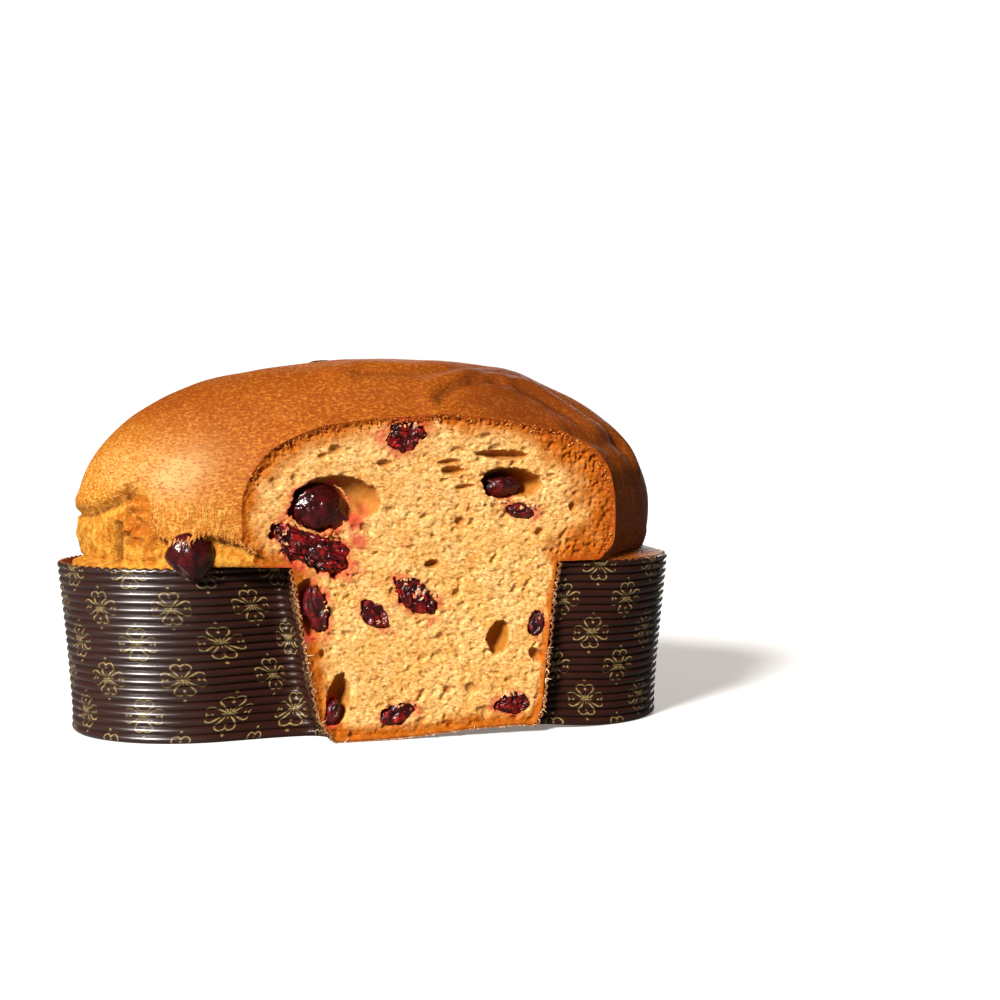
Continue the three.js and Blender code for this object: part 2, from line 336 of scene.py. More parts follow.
@dataclass(frozen=True)
class Block:
    """One rounded block of risen dough."""

    x: float
    z: float
    half_length: float
    half_width: float
    rise: float
    drop: float
    power: float

    def distance(self, x: Array, y: Array, z: Array) -> Array:
        """Distance-like value outside the block.

        Args:
            x: Along X.
            y: Along Y.
            z: Heights.

        Returns:
            Values, below 0 inside.
        """
        height = np.where(z > self.z, (z - self.z) / self.rise, (self.z - z) / self.drop)
        total = np.abs((x - self.x) / self.half_length) ** self.power
        total += np.abs(y / self.half_width) ** self.power + np.abs(height) ** self.power
        return (total ** (1.0 / self.power) - 1.0) * min(self.half_length, self.half_width, self.rise)


@dataclass(frozen=True)
class CutPlane:
    """The plane of the knife: along it, up, and inward from it."""

    x: float = -21.0
    y: float = -50.2
    turn: float = 3.6
    arch_height: float = 3.0
    arch_along: float = 62.0
    arch_width: float = 27.0
    arch_depth: float = 42.0

    @property
    def direction(self) -> Pair:
        """Cosine and sine of the plane's turn from the long axis."""
        return turned(self.turn)

    def place(self, points: Array) -> Array:
        """Points given as along, up and inward, in the part's frame.

        Args:
            points: Points as along, up and inward.

        Returns:
            Points of the part.
        """
        flat, side = self.direction
        along, up, inward = points[..., 0], points[..., 1], points[..., 2]
        return np.stack(
            [self.x + along * flat - inward * side, self.y + along * side + inward * flat, up], axis=-1
        )

    def measure(self, points: Array) -> Array:
        """Points of the part's frame as along, up and inward.

        Args:
            points: Points of the part.

        Returns:
            The points as along, up and inward.
        """
        flat, side = self.direction
        dx, dy = points[..., 0] - self.x, points[..., 1] - self.y
        return np.stack([dx * flat + dy * side, points[..., 2], -dx * side + dy * flat], axis=-1)

    def arch(self, points: Array) -> Array:
        """How far the base is arched off the floor under points of the part.

        Args:
            points: Points of space.

        Returns:
            One height per point.
        """
        spot = self.measure(points)
        across = hump(spot[..., 0], self.arch_along, self.arch_width)
        return self.arch_height * across * fall(spot[..., 2], 0, self.arch_depth)

    def lift(self, points: Array, height: float) -> Array:
        """Points raised with the arch of the base, less and less up to half of a height.

        Args:
            points: Points of space.
            height: Height of the wall.

        Returns:
            The raised points.
        """
        raised = points.copy()
        raised[..., 2] += self.arch(points) * fall(points[..., 2], 0, height / 2)
        return raised


# ---- meshes ----


def deselect() -> None:
    """Deselects everything."""
    bpy.ops.object.select_all(action="DESELECT")


def take(piece: Piece) -> None:
    """Makes one piece the only selected and the active one.

    Args:
        piece: The piece.
    """
    deselect()
    piece.select_set(True)
    bpy.context.view_layer.objects.active = piece


def named(piece: Piece, name: str) -> Piece:
    """Names a piece and its mesh, and returns the piece."""
    piece.name = piece.data.name = name
    return piece


def points_of(piece: Piece) -> Array:
    """A mesh's points in millimetres.

    Args:
        piece: The piece.

    Returns:
        One row per point.
    """
    flat = np.empty(len(piece.data.vertices) * 3)
    piece.data.vertices.foreach_get("co", flat)
    return flat.reshape(-1, 3) / MM


def move(piece: Piece, points: Array) -> None:
    """Puts a mesh's points at places in millimetres."""
    piece.data.vertices.foreach_set("co", (points * MM).ravel())
    piece.data.update()


def shade(piece: Piece, angle: float) -> None:
    """Shades a piece smooth, apart from edges sharper than an angle in degrees."""
    take(piece)
    bpy.ops.object.shade_smooth_by_angle(angle=math.radians(angle))


def keep(piece: Piece, name: str, values: Array) -> None:
    """Keeps one number per point under a name, for the materials."""
    attribute = piece.data.attributes.new(name, "FLOAT", "POINT")
    attribute.data.foreach_set("value", np.asarray(values, np.float32))


def wrapped(name: str, rows: Array, low: Array, high: Array, notes: dict[str, Array]) -> Piece:
    """A closed skin: a grid wrapped round, with a point at each end.

    Args:
        name: The piece's name.
        rows: Rings by points around by 3, from the low end to the high one.
        low: Point that closes the low end.
        high: Point that closes the high end.
        notes: Numbers to keep, ring by ring, by name.

    Returns:
        The piece.
    """
    rings, around = rows.shape[:2]
    deselect()
    bpy.ops.mesh.primitive_grid_add(x_subdivisions=around, y_subdivisions=rings + 1, size=1.0)
    piece = named(bpy.context.object, name)
    unit = points_of(piece) * MM + 0.5
    ring, step = np.round(unit[:, 1] * (rings + 1)).astype(int), np.round(unit[:, 0] * around).astype(int)
    index = ring * (around + 1) + step
    ends = [np.broadcast_to(end, (1, around, 3)) for end in (low, high)]
    full = np.concatenate([ends[0], rows, ends[1]])
    full = np.concatenate([full, full[:, :1]], axis=1).reshape(-1, 3)
    move(piece, full[index])
    for name, values in notes.items():
        values = np.concatenate([values[:1], values, values[-1:]])
        keep(piece, name, np.concatenate([values, values[:, :1]], axis=1).ravel()[index])
    take(piece)
    bpy.ops.object.mode_set(mode="EDIT")
    bpy.ops.mesh.select_all(action="SELECT")
    bpy.ops.mesh.remove_doubles(threshold=1e-7)
    bpy.ops.object.mode_set(mode="OBJECT")
    return piece


def slice_off(piece: Piece, cut: CutPlane, fill: bool) -> None:
    """Cuts away what lies in front of the knife's plane.

    Args:
        piece: The piece.
        cut: The knife's plane.
        fill: Whether it is closed there.
    """
    flat, side = cut.direction
    take(piece)
    bpy.ops.object.mode_set(mode="EDIT")
    bpy.ops.mesh.select_all(action="SELECT")
    bpy.ops.mesh.bisect(
        plane_co=(cut.x * MM, cut.y * MM, 0),
        plane_no=(side, -flat, 0),
        use_fill=fill,
        clear_outer=True,
        threshold=1e-7,
    )
    bpy.ops.object.mode_set(mode="OBJECT")


def new_piece(name: str, points: Array, faces: list[tuple[int, ...]]) -> Piece:
    """A piece from points in millimetres and faces.

    Args:
        name: The piece's name.
        points: One row per point.
        faces: The points of each face, by number.

    Returns:
        The piece.
    """
    mesh = bpy.data.meshes.new(name)
    mesh.from_pydata((points * MM).tolist(), [], faces)
    piece = bpy.data.objects.new(name, mesh)
    bpy.context.scene.collection.objects.link(piece)
    return piece


# ---- materials ----


def linear(*levels: float) -> Colour:
    """A colour given in screen levels, as the renderer's linear values."""
    shares = [level / 255 for level in levels]
    return tuple(s / 12.92 if s <= 0.04045 else ((s + 0.055) / 1.055) ** 2.4 for s in shares)


class Value:
    """A number that changes over a surface, on which arithmetic adds Math nodes."""

    def __init__(self, nodes: "Nodes", socket: Socket) -> None:
        """Wraps one output of a node."""
        self.nodes = nodes
        self.socket = socket

    def __add__(self, other: "Value | float") -> "Value":
        """Sum."""
        return self.nodes.math("ADD", self, other)

    def __sub__(self, other: "Value | float") -> "Value":
        """Difference."""
        return self.nodes.math("SUBTRACT", self, other)

    def __rsub__(self, other: float) -> "Value":
        """Difference from a number."""
        return self.nodes.math("SUBTRACT", other, self)

    def __mul__(self, other: "Value | float") -> "Value":
        """Product."""
        return self.nodes.math("MULTIPLY", self, other)

    def __truediv__(self, other: "Value | float") -> "Value":
        """Quotient."""
        return self.nodes.math("DIVIDE", self, other)

    def __abs__(self) -> "Value":
        """Size without sign."""
        return self.nodes.math("ABSOLUTE", self)

    __radd__ = __add__
    __rmul__ = __mul__

    def swing(self, amount: float) -> "Value":
        """The value's way from a half, times an amount."""
        return (self - 0.5) * amount

    def clamped(self) -> "Value":
        """The value kept between 0 and 1."""
        return self.nodes.math("ADD", self, 0, clamp=True)

    def step(self, low: float, high: float) -> "Value":
        """A soft step.

        Args:
            low: Where it leaves 0.
            high: Where it reaches 1.

        Returns:
            The step.
        """
        sockets = {"Value": self, "From Min": low, "From Max": high}
        node = self.nodes.add("MapRange", sockets, interpolation_type="SMOOTHSTEP")
        return Value(self.nodes, node.outputs["Result"])

    def low_step(self, low: float, high: float) -> "Value":
        """A soft step from 1 at `low` to 0 at `high`."""
        return 1 - self.step(low, high)


class Nodes:
    """The node tree of one material."""

    def __init__(self, name: str) -> None:
        """Starts a material with a shader and its output.

        Args:
            name: The material's name.
        """
        self.material = bpy.data.materials.new(name)
        self.material.use_nodes = True
        self.tree = self.material.node_tree
        self.tree.nodes.clear()
        output = self.add("OutputMaterial")
        self.shader = self.add("BsdfPrincipled")
        self.tree.links.new(self.shader.outputs["BSDF"], output.inputs["Surface"])
        self.place = Value(self, self.add("TexCoord").outputs["Object"])

    def plug(self, socket: Socket, value: object) -> None:
        """Sets one socket to a number, a colour or another node's output.

        Args:
            socket: The socket.
            value: Its new value or link.
        """
        if isinstance(value, Value):
            self.tree.links.new(value.socket, socket)
        elif isinstance(value, Socket):
            self.tree.links.new(value, socket)
        elif isinstance(value, tuple) and len(value) == 3 and socket.type == "RGBA":
            socket.default_value = (*value, 1)
        else:
            socket.default_value = value

    def add(self, kind: str, sockets: dict | None = None, **settings: object) -> bpy.types.Node:
        """Adds a node.

        Args:
            kind: The shader node's type.
            sockets: Values or links, by the socket's name or number.
            settings: Its own settings, which are set first.

        Returns:
            The node.
        """
        node = self.tree.nodes.new("ShaderNode" + kind)
        for name, value in settings.items():
            setattr(node, name, value)
        for name, value in (sockets or {}).items():
            self.plug(node.inputs[name], value)
        return node

    def math(self, operation: str, *values: "Value | float", clamp: bool = False) -> Value:
        """The result of a Math node."""
        node = self.add("Math", dict(enumerate(values)), operation=operation, use_clamp=clamp)
        return Value(self, node.outputs[0])

    def attribute(self, name: str) -> Value:
        """A number kept on the mesh's points."""
        return Value(self, self.add("Attribute", attribute_name=name).outputs["Fac"])

    def axes(self) -> tuple[Value, Value, Value]:
        """The three numbers of the place on the piece."""
        node = self.add("SeparateXYZ", {0: self.place})
        return tuple(Value(self, output) for output in node.outputs)

    def mapped(self, *scale: float) -> Value:
        """The place on the piece, stretched along each axis."""
        sockets = {"Vector": self.place, "Scale": scale}
        return Value(self, self.add("Mapping", sockets).outputs[0])

    def noise(self, size: float, detail: float, vector: Value | None = None, rough: float = 0.5) -> Value:
        """Noise from 0 to 1.

        Args:
            size: Width of its lumps, in millimetres.
            detail: How many finer layers it has.
            vector: Where it is read, by default the place on the piece.
            rough: Strength of the finer layers.

        Returns:
            The noise.
        """
        place = {"Vector": vector or self.place, "Scale": 1.0 / (size * MM)}
        node = self.add("TexNoise", place | {"Detail": detail, "Roughness": rough})
        return Value(self, node.outputs["Fac"])

    def cells(self, size: float, vector: Value) -> Value:
        """Distance from the middles of cells of about `size` millimetres."""
        sockets = {"Vector": vector, "Scale": 1.0 / (size * MM)}
        return Value(self, self.add("TexVoronoi", sockets).outputs["Distance"])

    def mix(self, factor: "Value | float", low: "Value | Colour", high: "Value | Colour") -> Value:
        """The colour `low` with a share `factor` of the colour `high` mixed into it."""
        node = self.add("Mix", {0: factor, 6: low, 7: high}, data_type="RGBA", clamp_factor=True)
        return Value(self, node.outputs[2])

    def length(self, x: Value, y: Value) -> Value:
        """Length of a flat vector."""
        return self.math("SQRT", x * x + y * y)

    def bump(self, height: Value, depth: float, under: Value | None = None) -> Value:
        """A normal bent by a height, `depth` millimetres deep, over one that may be bent already."""
        sockets = {"Height": height, "Distance": depth * MM} | ({"Normal": under} if under else {})
        return Value(self, self.add("Bump", sockets).outputs["Normal"])

    def finish(self, **sockets: object) -> Material:
        """Sets the shader's sockets, with spaces written as underscores, and returns the material.

        Args:
            sockets: Values by socket.

        Returns:
            The material.
        """
        for name, value in sockets.items():
            self.plug(self.shader.inputs[name.replace("_", " ")], value)
        return self.material


@dataclass(frozen=True)
class CrustFinish:
    """Smooth browned crust, paler where the skin tore."""

    deep: Colour = linear(128, 54, 4)
    brown: Colour = linear(164, 78, 6)
    gold: Colour = linear(192, 122, 26)
    # painted highlight: the paler colour painted where the key lamp's highlight falls on the front shoulder
    sheen: Colour = linear(238, 190, 126)
    torn: Colour = linear(238, 170, 60)
    torn_low: Colour = linear(194, 110, 20)
    torn_high: Colour = linear(244, 190, 92)
    crag: Colour = linear(196, 100, 16)
    # painted shade: the dark colour painted into splits, folds and crevices of the crust
    crease: Colour = linear(84, 34, 8)
    speck: Colour = linear(202, 124, 36)
    speck_gold: Colour = linear(238, 180, 98)

    def material(self) -> Material:
        """Builds the crust's nodes.

        Returns:
            The material.
        """
        n = Nodes("crust")
        bake, gold, torn, crag, crease, sheen, fibre = (
            n.attribute(name) for name in ("bake", "gold", "torn", "crag", "crease", "sheen", "fibre")
        )
        broad = n.noise(22, 3)
        fine = n.noise(1.2, 3, n.mapped(0.8, 0.8, 1.6), rough=0.7)
        grain = n.noise(0.5, 2)
        patch = n.noise(6, 3)
        golden = (gold + broad.swing(0.3) + patch.swing(0.4)).clamped()
        # darker where more baked, and where shade is painted over the head end and along the lip
        skin = n.mix((bake + broad.swing(0.5) + patch.swing(0.4)).clamped(), self.brown, self.deep)
        skin = n.mix(golden, skin, self.gold)
        # paints the highlight of the front shoulder into the colour; the same mask also makes the crust
        # glossier there
        skin = n.mix(sheen * 0.75, skin, self.sheen)
        calm = 0.8 - 0.55 * bake
        skin = n.mix(fine.step(0.5, 0.64) * calm, skin, n.mix(golden, self.speck, self.speck_gold))
        skin = n.mix(fine.low_step(0.36, 0.5) * calm, skin, n.mix(golden, self.deep, self.brown))
        strands = n.noise(1, 3, n.mapped(1, 1, 0.3), rough=0.7)
        skin = n.mix(strands.step(0.5, 0.62) * fibre * 0.45, skin, self.torn_high)
        skin = n.mix(strands.low_step(0.38, 0.5) * fibre * 0.55, skin, self.torn_low)
        crisp = n.noise(1.5, 4, n.mapped(1, 1, 0.8), rough=0.7)
        dough = n.mix(n.noise(3, 4).step(0.35, 0.65), self.torn_low, self.torn)
        dough = n.mix(crag * (0.4 + patch * 0.9), dough, self.crag)
        dough = n.mix(crisp.step(0.5, 0.64) * 0.5, dough, self.torn_high)
        dough = n.mix(crisp.low_step(0.38, 0.48) * 0.62, dough, self.torn_low)
        colour = n.mix(torn, skin, dough)
        # paints shade into the splits, folds and crevices
        colour = n.mix(crease, colour, self.crease)
        rough = 0.62 - sheen * 0.22 + torn * 0.2 + broad.swing(0.2) + fine.swing(0.4)
        skin_bump = n.bump(fine * 0.6 + grain * 0.4, 0.6)
        bump = n.bump(crisp * torn * 1.5 + strands * fibre * 0.7, 1, under=skin_bump)
        return n.finish(Base_Color=colour, Roughness=rough, Normal=bump, Specular_IOR_Level=0.17)


@dataclass(frozen=True)
class CrumbFinish:
    """Airy yellow crumb, toasted at its rim and stained around the fruit."""

    cream: Colour = linear(228, 163, 86)
    light: Colour = linear(252, 208, 138)
    warm: Colour = linear(238, 174, 86)
    shade: Colour = linear(190, 122, 48)
    # painted shade: colour of the shaded inside of the pores
    pore: Colour = linear(172, 104, 36)
    ochre: Colour = linear(172, 104, 30)
    toast: Colour = linear(184, 95, 11)
    crust: Colour = linear(152, 64, 4)
    stain: Colour = linear(200, 70, 52)
    juice: Colour = linear(118, 10, 14)

    def material(self) -> Material:
        """Builds the crumb's nodes.

        Returns:
            The material.
        """
        n = Nodes("crumb")
        pore, toast, rind, stain, ochre = (
            n.attribute(name) for name in ("pore", "toast", "rind", "stain", "ochre")
        )
        broad = n.noise(12, 3)
        flat = n.mapped(0.75, 1, 1.25)
        spots = n.noise(1.9, 4, flat, rough=0.7)
        fine = n.noise(0.9, 3, flat, rough=0.75)
        cells = n.cells(2.1, flat)
        height = n.axes()[2] / MM
        low = height.low_step(62, 88)
        colour = n.mix(low * 0.7, self.cream, self.warm)
        # The light and shade flecks paint the light and shade of the crumb's fine relief, over its broad
        # mottling of tone.
        colour = n.mix(broad.step(0.4, 0.62) * 0.35 + fine.step(0.48, 0.6) * 0.7, colour, self.light)
        colour = n.mix(spots.low_step(0.38, 0.48) * 0.7, colour, self.shade)
        colour = n.mix(fine.low_step(0.36, 0.48) * 0.75, colour, self.shade)
        # paints shaded pits as dark spots, and darkens the crumb with the depth of its relief
        colour = n.mix(cells.low_step(0.16, 0.42) * spots.low_step(0.42, 0.58) * 0.85, colour, self.pore)
        colour = n.mix(pore, colour, self.pore)
        colour = n.mix(ochre, colour, self.ochre)
        grit = spots.swing(3.2) + fine.swing(2.6)
        colour = n.mix((toast * 1.1 + grit * toast).clamped(), colour, self.toast)
        flecks = (toast * (fine.low_step(0.36, 0.5) + cells.low_step(0.1, 0.4) * 0.5)).clamped()
        colour = n.mix(flecks * 0.8, colour, self.crust)
        colour = n.mix((rind + grit * rind).clamped(), colour, self.crust)
        colour = n.mix(stain.step(0.05, 0.6) * 0.85, colour, self.stain)
        colour = n.mix(stain.step(0.6, 1), colour, self.juice)
        bump = n.bump(fine * 0.5 + spots * 0.5 + cells * 0.25, 0.3)
        return n.finish(Base_Color=colour, Roughness=0.8 - stain * 0.35, Normal=bump, Specular_IOR_Level=0.12)


@dataclass(frozen=True)
class PaperFinish:
    """Dark brown baking paper with a gold four-petal flower, and its plain inside."""

    brown: Colour = linear(36, 16, 11)
    warm: Colour = linear(58, 28, 20)
    gold: Colour = linear(168, 146, 92)
    kraft: Colour = linear(186, 118, 62)
    kraft_dark: Colour = linear(130, 66, 26)
    column: float = 13.1
    row: float = 25.3
    phase: float = 6.0
    lift: float = 15.7
    wide: float = 1.13
    tall: float = 0.92
    base: Triple = (0.15, 0.9, 0.3)
    lobe: Triple = (1.35, 4.6, 1.45)
    line: float = 0.13
    soft: float = 0.17

    def petals(self, n: Nodes, across: Value, reach: Value) -> Value:
        """Outline of one pair of notched petals, with a dot inside the notch.

        Args:
            n: The nodes.
            across: Distance from the line through the pair.
            reach: Distance along that line.

        Returns:
            1 on the print and 0 off it.
        """
        (x0, y0, r0), (x1, y1, r1) = self.base, self.lobe
        dx, dy = x1 - x0, y1 - y0
        share = (((across - x0) * dx + (reach - y0) * dy) / (dx * dx + dy * dy)).clamped()
        off_x = across - x0 - share * dx
        off_y = reach - y0 - share * dy
        away = n.length(off_x, off_y) - (share * (r1 - r0) + r0)
        outline = abs(away).low_step(self.line, self.line + self.soft)
        outline = outline * (1 - across.low_step(0.35, 0.5) * reach.low_step(4.8, 5.1))
        dot = n.length(across, reach - 4.2).low_step(0.3, 0.5)
        return n.math("MAXIMUM", outline, dot)

    def flowers(self, n: Nodes) -> Value:
        """Mask of the printed flowers: outlined petals, rays between them and a dot above and below.

        Args:
            n: The nodes.

        Returns:
            1 on the print and 0 off it.
        """
        strip = n.attribute("strip") + self.phase
        column = strip / self.column
        number = n.math("FLOOR", column)
        x = (column - number - 0.5) * (self.column / self.wide)
        shifted = (n.attribute("height") + self.lift) / self.row + n.math("MODULO", number, 2) * 0.5
        y = (shifted - n.math("FLOOR", shifted) - 0.5) * (self.row / self.tall)
        side, tall = abs(x), abs(y)
        mask = n.math("MAXIMUM", self.petals(n, side, tall), self.petals(n, tall, side))
        radius = n.length(x, y)
        slant = abs(side - tall) / math.sqrt(2.0)
        fan = abs(slant - radius * 0.16)
        ray = fan.low_step(0.06, 0.2) * radius.step(1.9, 2.4) * radius.low_step(4.6, 5)
        dot = n.length(x, tall - 7.9).low_step(0.3, 0.55)
        cross = n.math("MINIMUM", side, tall).low_step(0.05, 0.25) * radius.low_step(1.6, 2.2)
        for extra in (ray, dot, cross, radius.low_step(0.35, 0.6)):
            mask = n.math("MAXIMUM", mask, extra)
        return mask

    def material(self) -> Material:
        """Builds the printed side's nodes.

        Returns:
            The material.
        """
        n = Nodes("baking_paper")
        worn = n.noise(0.9, 2).step(0.36, 0.54)
        crest = n.attribute("crest")
        # painted shade: the print is drawn fainter in the grooves between the pleats
        printed = self.flowers(n) * (0.35 + worn * 0.65) * (0.3 + crest * 0.7)
        broad = n.noise(16, 3)
        colour = n.mix(broad, self.brown, self.warm)
        colour = n.mix(printed, colour, self.gold)
        fibre = n.noise(0.5, 3, n.mapped(1, 1, 3))
        lobe = (n.axes()[0] / MM).low_step(-76, -50)
        rough = 0.3 + broad.swing(0.2) + fibre.swing(0.3)
        return n.finish(
            Base_Color=colour,
            Roughness=rough,
            Normal=n.bump(fibre, 0.08),
            Specular_IOR_Level=0.3,
            Coat_Weight=lobe,
            Coat_Roughness=0.3,
            Coat_IOR=1.6,
        )

    def inside(self) -> Material:
        """Builds the nodes of the unprinted side and the sawn edge.

        Returns:
            The material.
        """
        n = Nodes("paper_inside")
        fibre = n.noise(0.8, 4, rough=0.7)
        grease = n.noise(9, 2)
        colour = n.mix(fibre * 0.5 + grease * 0.5, self.kraft, self.kraft_dark)
        return n.finish(Base_Color=colour, Roughness=0.75, Normal=n.bump(fibre, 0.12))


class Fruit(Enum):
    """How a cherry looks where it is cut or torn."""

    SKIN = "skin"
    PULP = "pulp"
    DRY = "dry"


@dataclass(frozen=True)
class CherryFinish:
    """Dark cherry with a wet gloss."""

    black: Colour = linear(26, 4, 5)
    dark: Colour = linear(72, 13, 14)
    red: Colour = linear(136, 13, 13)
    bright: Colour = linear(204, 48, 36)

    def material(self, fruit: Fruit) -> Material:
        """Builds the nodes of one kind of cherry surface.

        Args:
            fruit: Kind of surface.

        Returns:
            The material.
        """
        n = Nodes("cherry_" + fruit.value)
        amount, rough, depth = {
            Fruit.SKIN: (0.1, 0.2, 0.3), Fruit.PULP: (1.0, 0.26, 0.5), Fruit.DRY: (0.4, 0.38, 0.4)
        }[fruit]
        crest = n.attribute("crest")
        lumps = n.noise(3.2, 3, rough=0.6)
        fine = n.noise(1.1, 3)
        # painted shade in the gaps between lumps: the colour goes towards black there, and the red flesh
        # shows mostly on the crests
        colour = n.mix((crest * 0.5 + lumps.swing(1.6) + 0.3).clamped(), self.black, self.dark)
        colour = n.mix(lumps.step(0.46, 0.6) * amount * (0.35 + crest * 0.65), colour, self.red)
        colour = n.mix(n.noise(1.6, 2).step(0.58, 0.7) * crest * amount * 0.6, colour, self.bright)
        rough += fine.swing(0.3)
        return n.finish(Base_Color=colour, Roughness=rough, Normal=n.bump(fine * 0.5 + lumps, depth))


@dataclass(frozen=True)
class BitFinish:
    """Flakes, crumbs and fibres, each between a pale and a dark tone."""

    name: str
    pale: Colour
    dark: Colour
    rough: float = 0.75

    def material(self) -> Material:
        """Builds the nodes.

        Returns:
            The material.
        """
        n = Nodes(self.name)
        fine = n.noise(0.8, 3)
        tone = (n.attribute("tone") + fine.swing(0.8)).clamped()
        colour = n.mix(tone, self.pale, self.dark)
        return n.finish(Base_Color=colour, Roughness=self.rough, Normal=n.bump(fine, 0.15))


# ---- pieces ----


@dataclass(frozen=True)
class Crease:
    """A fold of the crust along points of its plan; its tone is how dark a shade is painted along it."""

    points: tuple[Pair, ...]
    width: float
    depth: float
    tone: float

    def distance(self, plan: Array) -> Array:
        """Distance from the fold, in plan."""
        spots = [np.array(point, float) for point in self.points]
        return np.min([segment_distance(plan, *ends) for ends in zip(spots, spots[1:])], axis=0)


@dataclass(frozen=True)
class Spot:
    """A round or oval place in the cut face: its middle, width, height, depth and tilt."""

    along: float
    up: float
    width: float
    height: float
    depth: float
    tilt: float = 0.0
    ochre: float = 0.0
    ragged: float = 0.12

    def radius(self, along: Array, up: Array, grow: float = 0.0) -> Array:
        """Distance from the middle as a share of the way to the ragged edge.

        Args:
            along: Places along the cut.
            up: Their heights.
            grow: How much wider it is taken.

        Returns:
            0 in the middle and 1 at the edge.
        """
        flat, side = turned(self.tilt)
        dx, dy = along - self.along, up - self.up
        x = (dx * flat + dy * side) / (self.width / 2 + grow)
        y = (-dx * side + dy * flat) / (self.height / 2 + grow)
        share = np.hypot(x, y)
        near = share < 2.5
        share[near] *= 1 + self.ragged * fractal(on_plane(along[near], up[near]), 3, 31, 3)
        return share


@dataclass(frozen=True)
class CutCherry:
    """A cherry in the cut face."""

    name: str
    spot: Spot
    inward: float
    fruit: Fruit
    stain: float


@dataclass
class Cake:
    """The loaf: browned crust outside, crumb in the cut face.

    An arc is a first and a last angle around the heart, and its softness, in degrees.
    """

    mould: Mould
    cut: CutPlane
    body: Block = Block(-0.5, 80, 108.5, 57, 57, 60, 2.15)
    wings: Block = Block(20.5, 77, 58.5, 104, 31, 18, 3.4)
    cap_blend: float = 15.0
    heart_z: float = 78.0
    around: int = 400
    fine: Triple = (203.0, 26, 1.7)
    low_rings: int = 42
    low_slope: float = 16.0
    high_rings: int = 58
    skin_inset: float = 0.85
    floor: float = 0.6
    rim_clearance: float = 0.3
    shrink_depth: float = 4.6
    shrink_angle: float = 170.0
    shrink_spread: float = 26.0
    shrink_from: float = 38.0
    lattice: float = 0.5
    torn_arc: Triple = (152, 228, 12)
    left_arc: Triple = (150, 197.4, 3)
    lip_arc: Triple = (203.6, 224, 2)
    shred_arc: Triple = (201.5, 215, 3)
    right_arc: Triple = (322, 350, 6)
    stripe_arc: Triple = (318, 345, 6)
    back_arc: Triple = (5, 150, 10)
    rim_arc: Triple = (186, 236, 6)
    # painted shade: arc around the head end whose crust is darkened as if it lay in shade
    painted_shade_arc: Triple = (42, 104, 30)
    edge: tuple[Pair, ...] = (
        (150, 78), (180, 79), (188.3, 79.7), (193.3, 82.6), (196.5, 85.6), (197.6, 88),
        (200.5, 88.5), (202, 85), (203, 76.5), (204.2, 71.5), (206, 70), (209, 70.6),
        (211.8, 73.2), (215, 71.8), (219.5, 68.8), (223, 66.4), (228, 63.5),
    )
    cherries: tuple[CutCherry, ...] = ()
    hollows: tuple[Spot, ...] = ()
    creases: tuple[Crease, ...] = (
        Crease(((19, -41), (25, -35.5), (33, -31), (43, -28)), 1.7, 0.8, 0.42),
        Crease(((-8, -27.5), (12, -27), (27, -21), (38, -13)), 3, 0.8, 0.16),
        Crease(((42, -27), (58, -27.5), (72, -33)), 2.6, 0.6, 0.16),
        Crease(((33, -30), (40, -22), (54, -15)), 2.4, 0.6, 0.14),
        Crease(((60, -12), (78, -20), (92, -25)), 3, 0.7, 0.2),
        Crease(((68, -42), (80, -37), (92, -24)), 2, 0.7, 0.3),
    )
    notes: dict[str, Array] = field(default_factory=dict)
    ring: Array | None = None
    skin: Array | None = None

    def shrinkage(self, theta: Array, z: float) -> Array:
        """How far the crust stands in from the paper's outside.

        Args:
            theta: In radians.
            z: Height.

        Returns:
            One distance per angle.
        """
        off = np.degrees(theta) % 360.0
        rise = smooth(np.asarray(z), self.shrink_from, self.mould.height)
        return self.skin_inset + self.shrink_depth * hump(off, self.shrink_angle, self.shrink_spread) * rise

    def cap_distance(self, x: Array, y: Array, z: Array) -> Array:
        """Distance-like value outside the cake above the rim."""
        return smooth_min(self.body.distance(x, y, z), self.wings.distance(x, y, z), self.cap_blend)

    def cap_rows(self, theta: Array) -> Array:
        """Rings of the crust from the rim to just under the top.

        Args:
            theta: In radians.

        Returns:
            Points, rings by angles by 3.
        """
        lowest = self.mould.height + self.rim_clearance
        inset = self.shrinkage(theta, self.mould.height)
        rim = self.mould.radius(theta, np.asarray(self.mould.height), inset)
        start = np.arctan2(lowest - self.heart_z, rim)
        low = np.linspace(0, 1, self.low_rings + 1)[1:, None]
        slopes = start + (math.radians(self.low_slope) - start) * low
        high = np.linspace(self.low_slope, 90, self.high_rings + 1)[1:-1, None]
        slopes = np.concatenate([slopes, np.radians(high) + 0.0 * start])
        flat, up = np.cos(slopes), np.sin(slopes)
        x, y = flat * np.cos(theta), flat * np.sin(theta)
        heart = self.mould.heart
        reach = find_edge(
            lambda r: self.cap_distance(heart + r * x, r * y, self.heart_z + r * up), slopes.shape
        )
        z = np.maximum(self.heart_z + reach * up, lowest)
        return np.stack([heart + reach * x, reach * y, z], axis=-1)

    def wall_rows(self, theta: Array) -> Array:
        """Rings of the base and of the wall inside the paper.

        Args:
            theta: In radians.

        Returns:
            Points, rings by angles by 3.
        """
        inset = np.full_like(theta, self.floor)
        rows = [self.mould.ring(theta, self.floor, inset, scale) for scale in (0.5, 0.85)]
        levels = [self.floor + 0.6, *(np.array([2, 3, 6, 12, 17, 22]) * self.mould.pitch)]
        rows.append(self.mould.ring(theta, self.floor, np.full_like(theta, self.skin_inset + 1.0)))
        rows += [self.mould.ring(theta, z, self.shrinkage(theta, z)) for z in levels]
        return self.cut.lift(np.array(rows), self.mould.height)

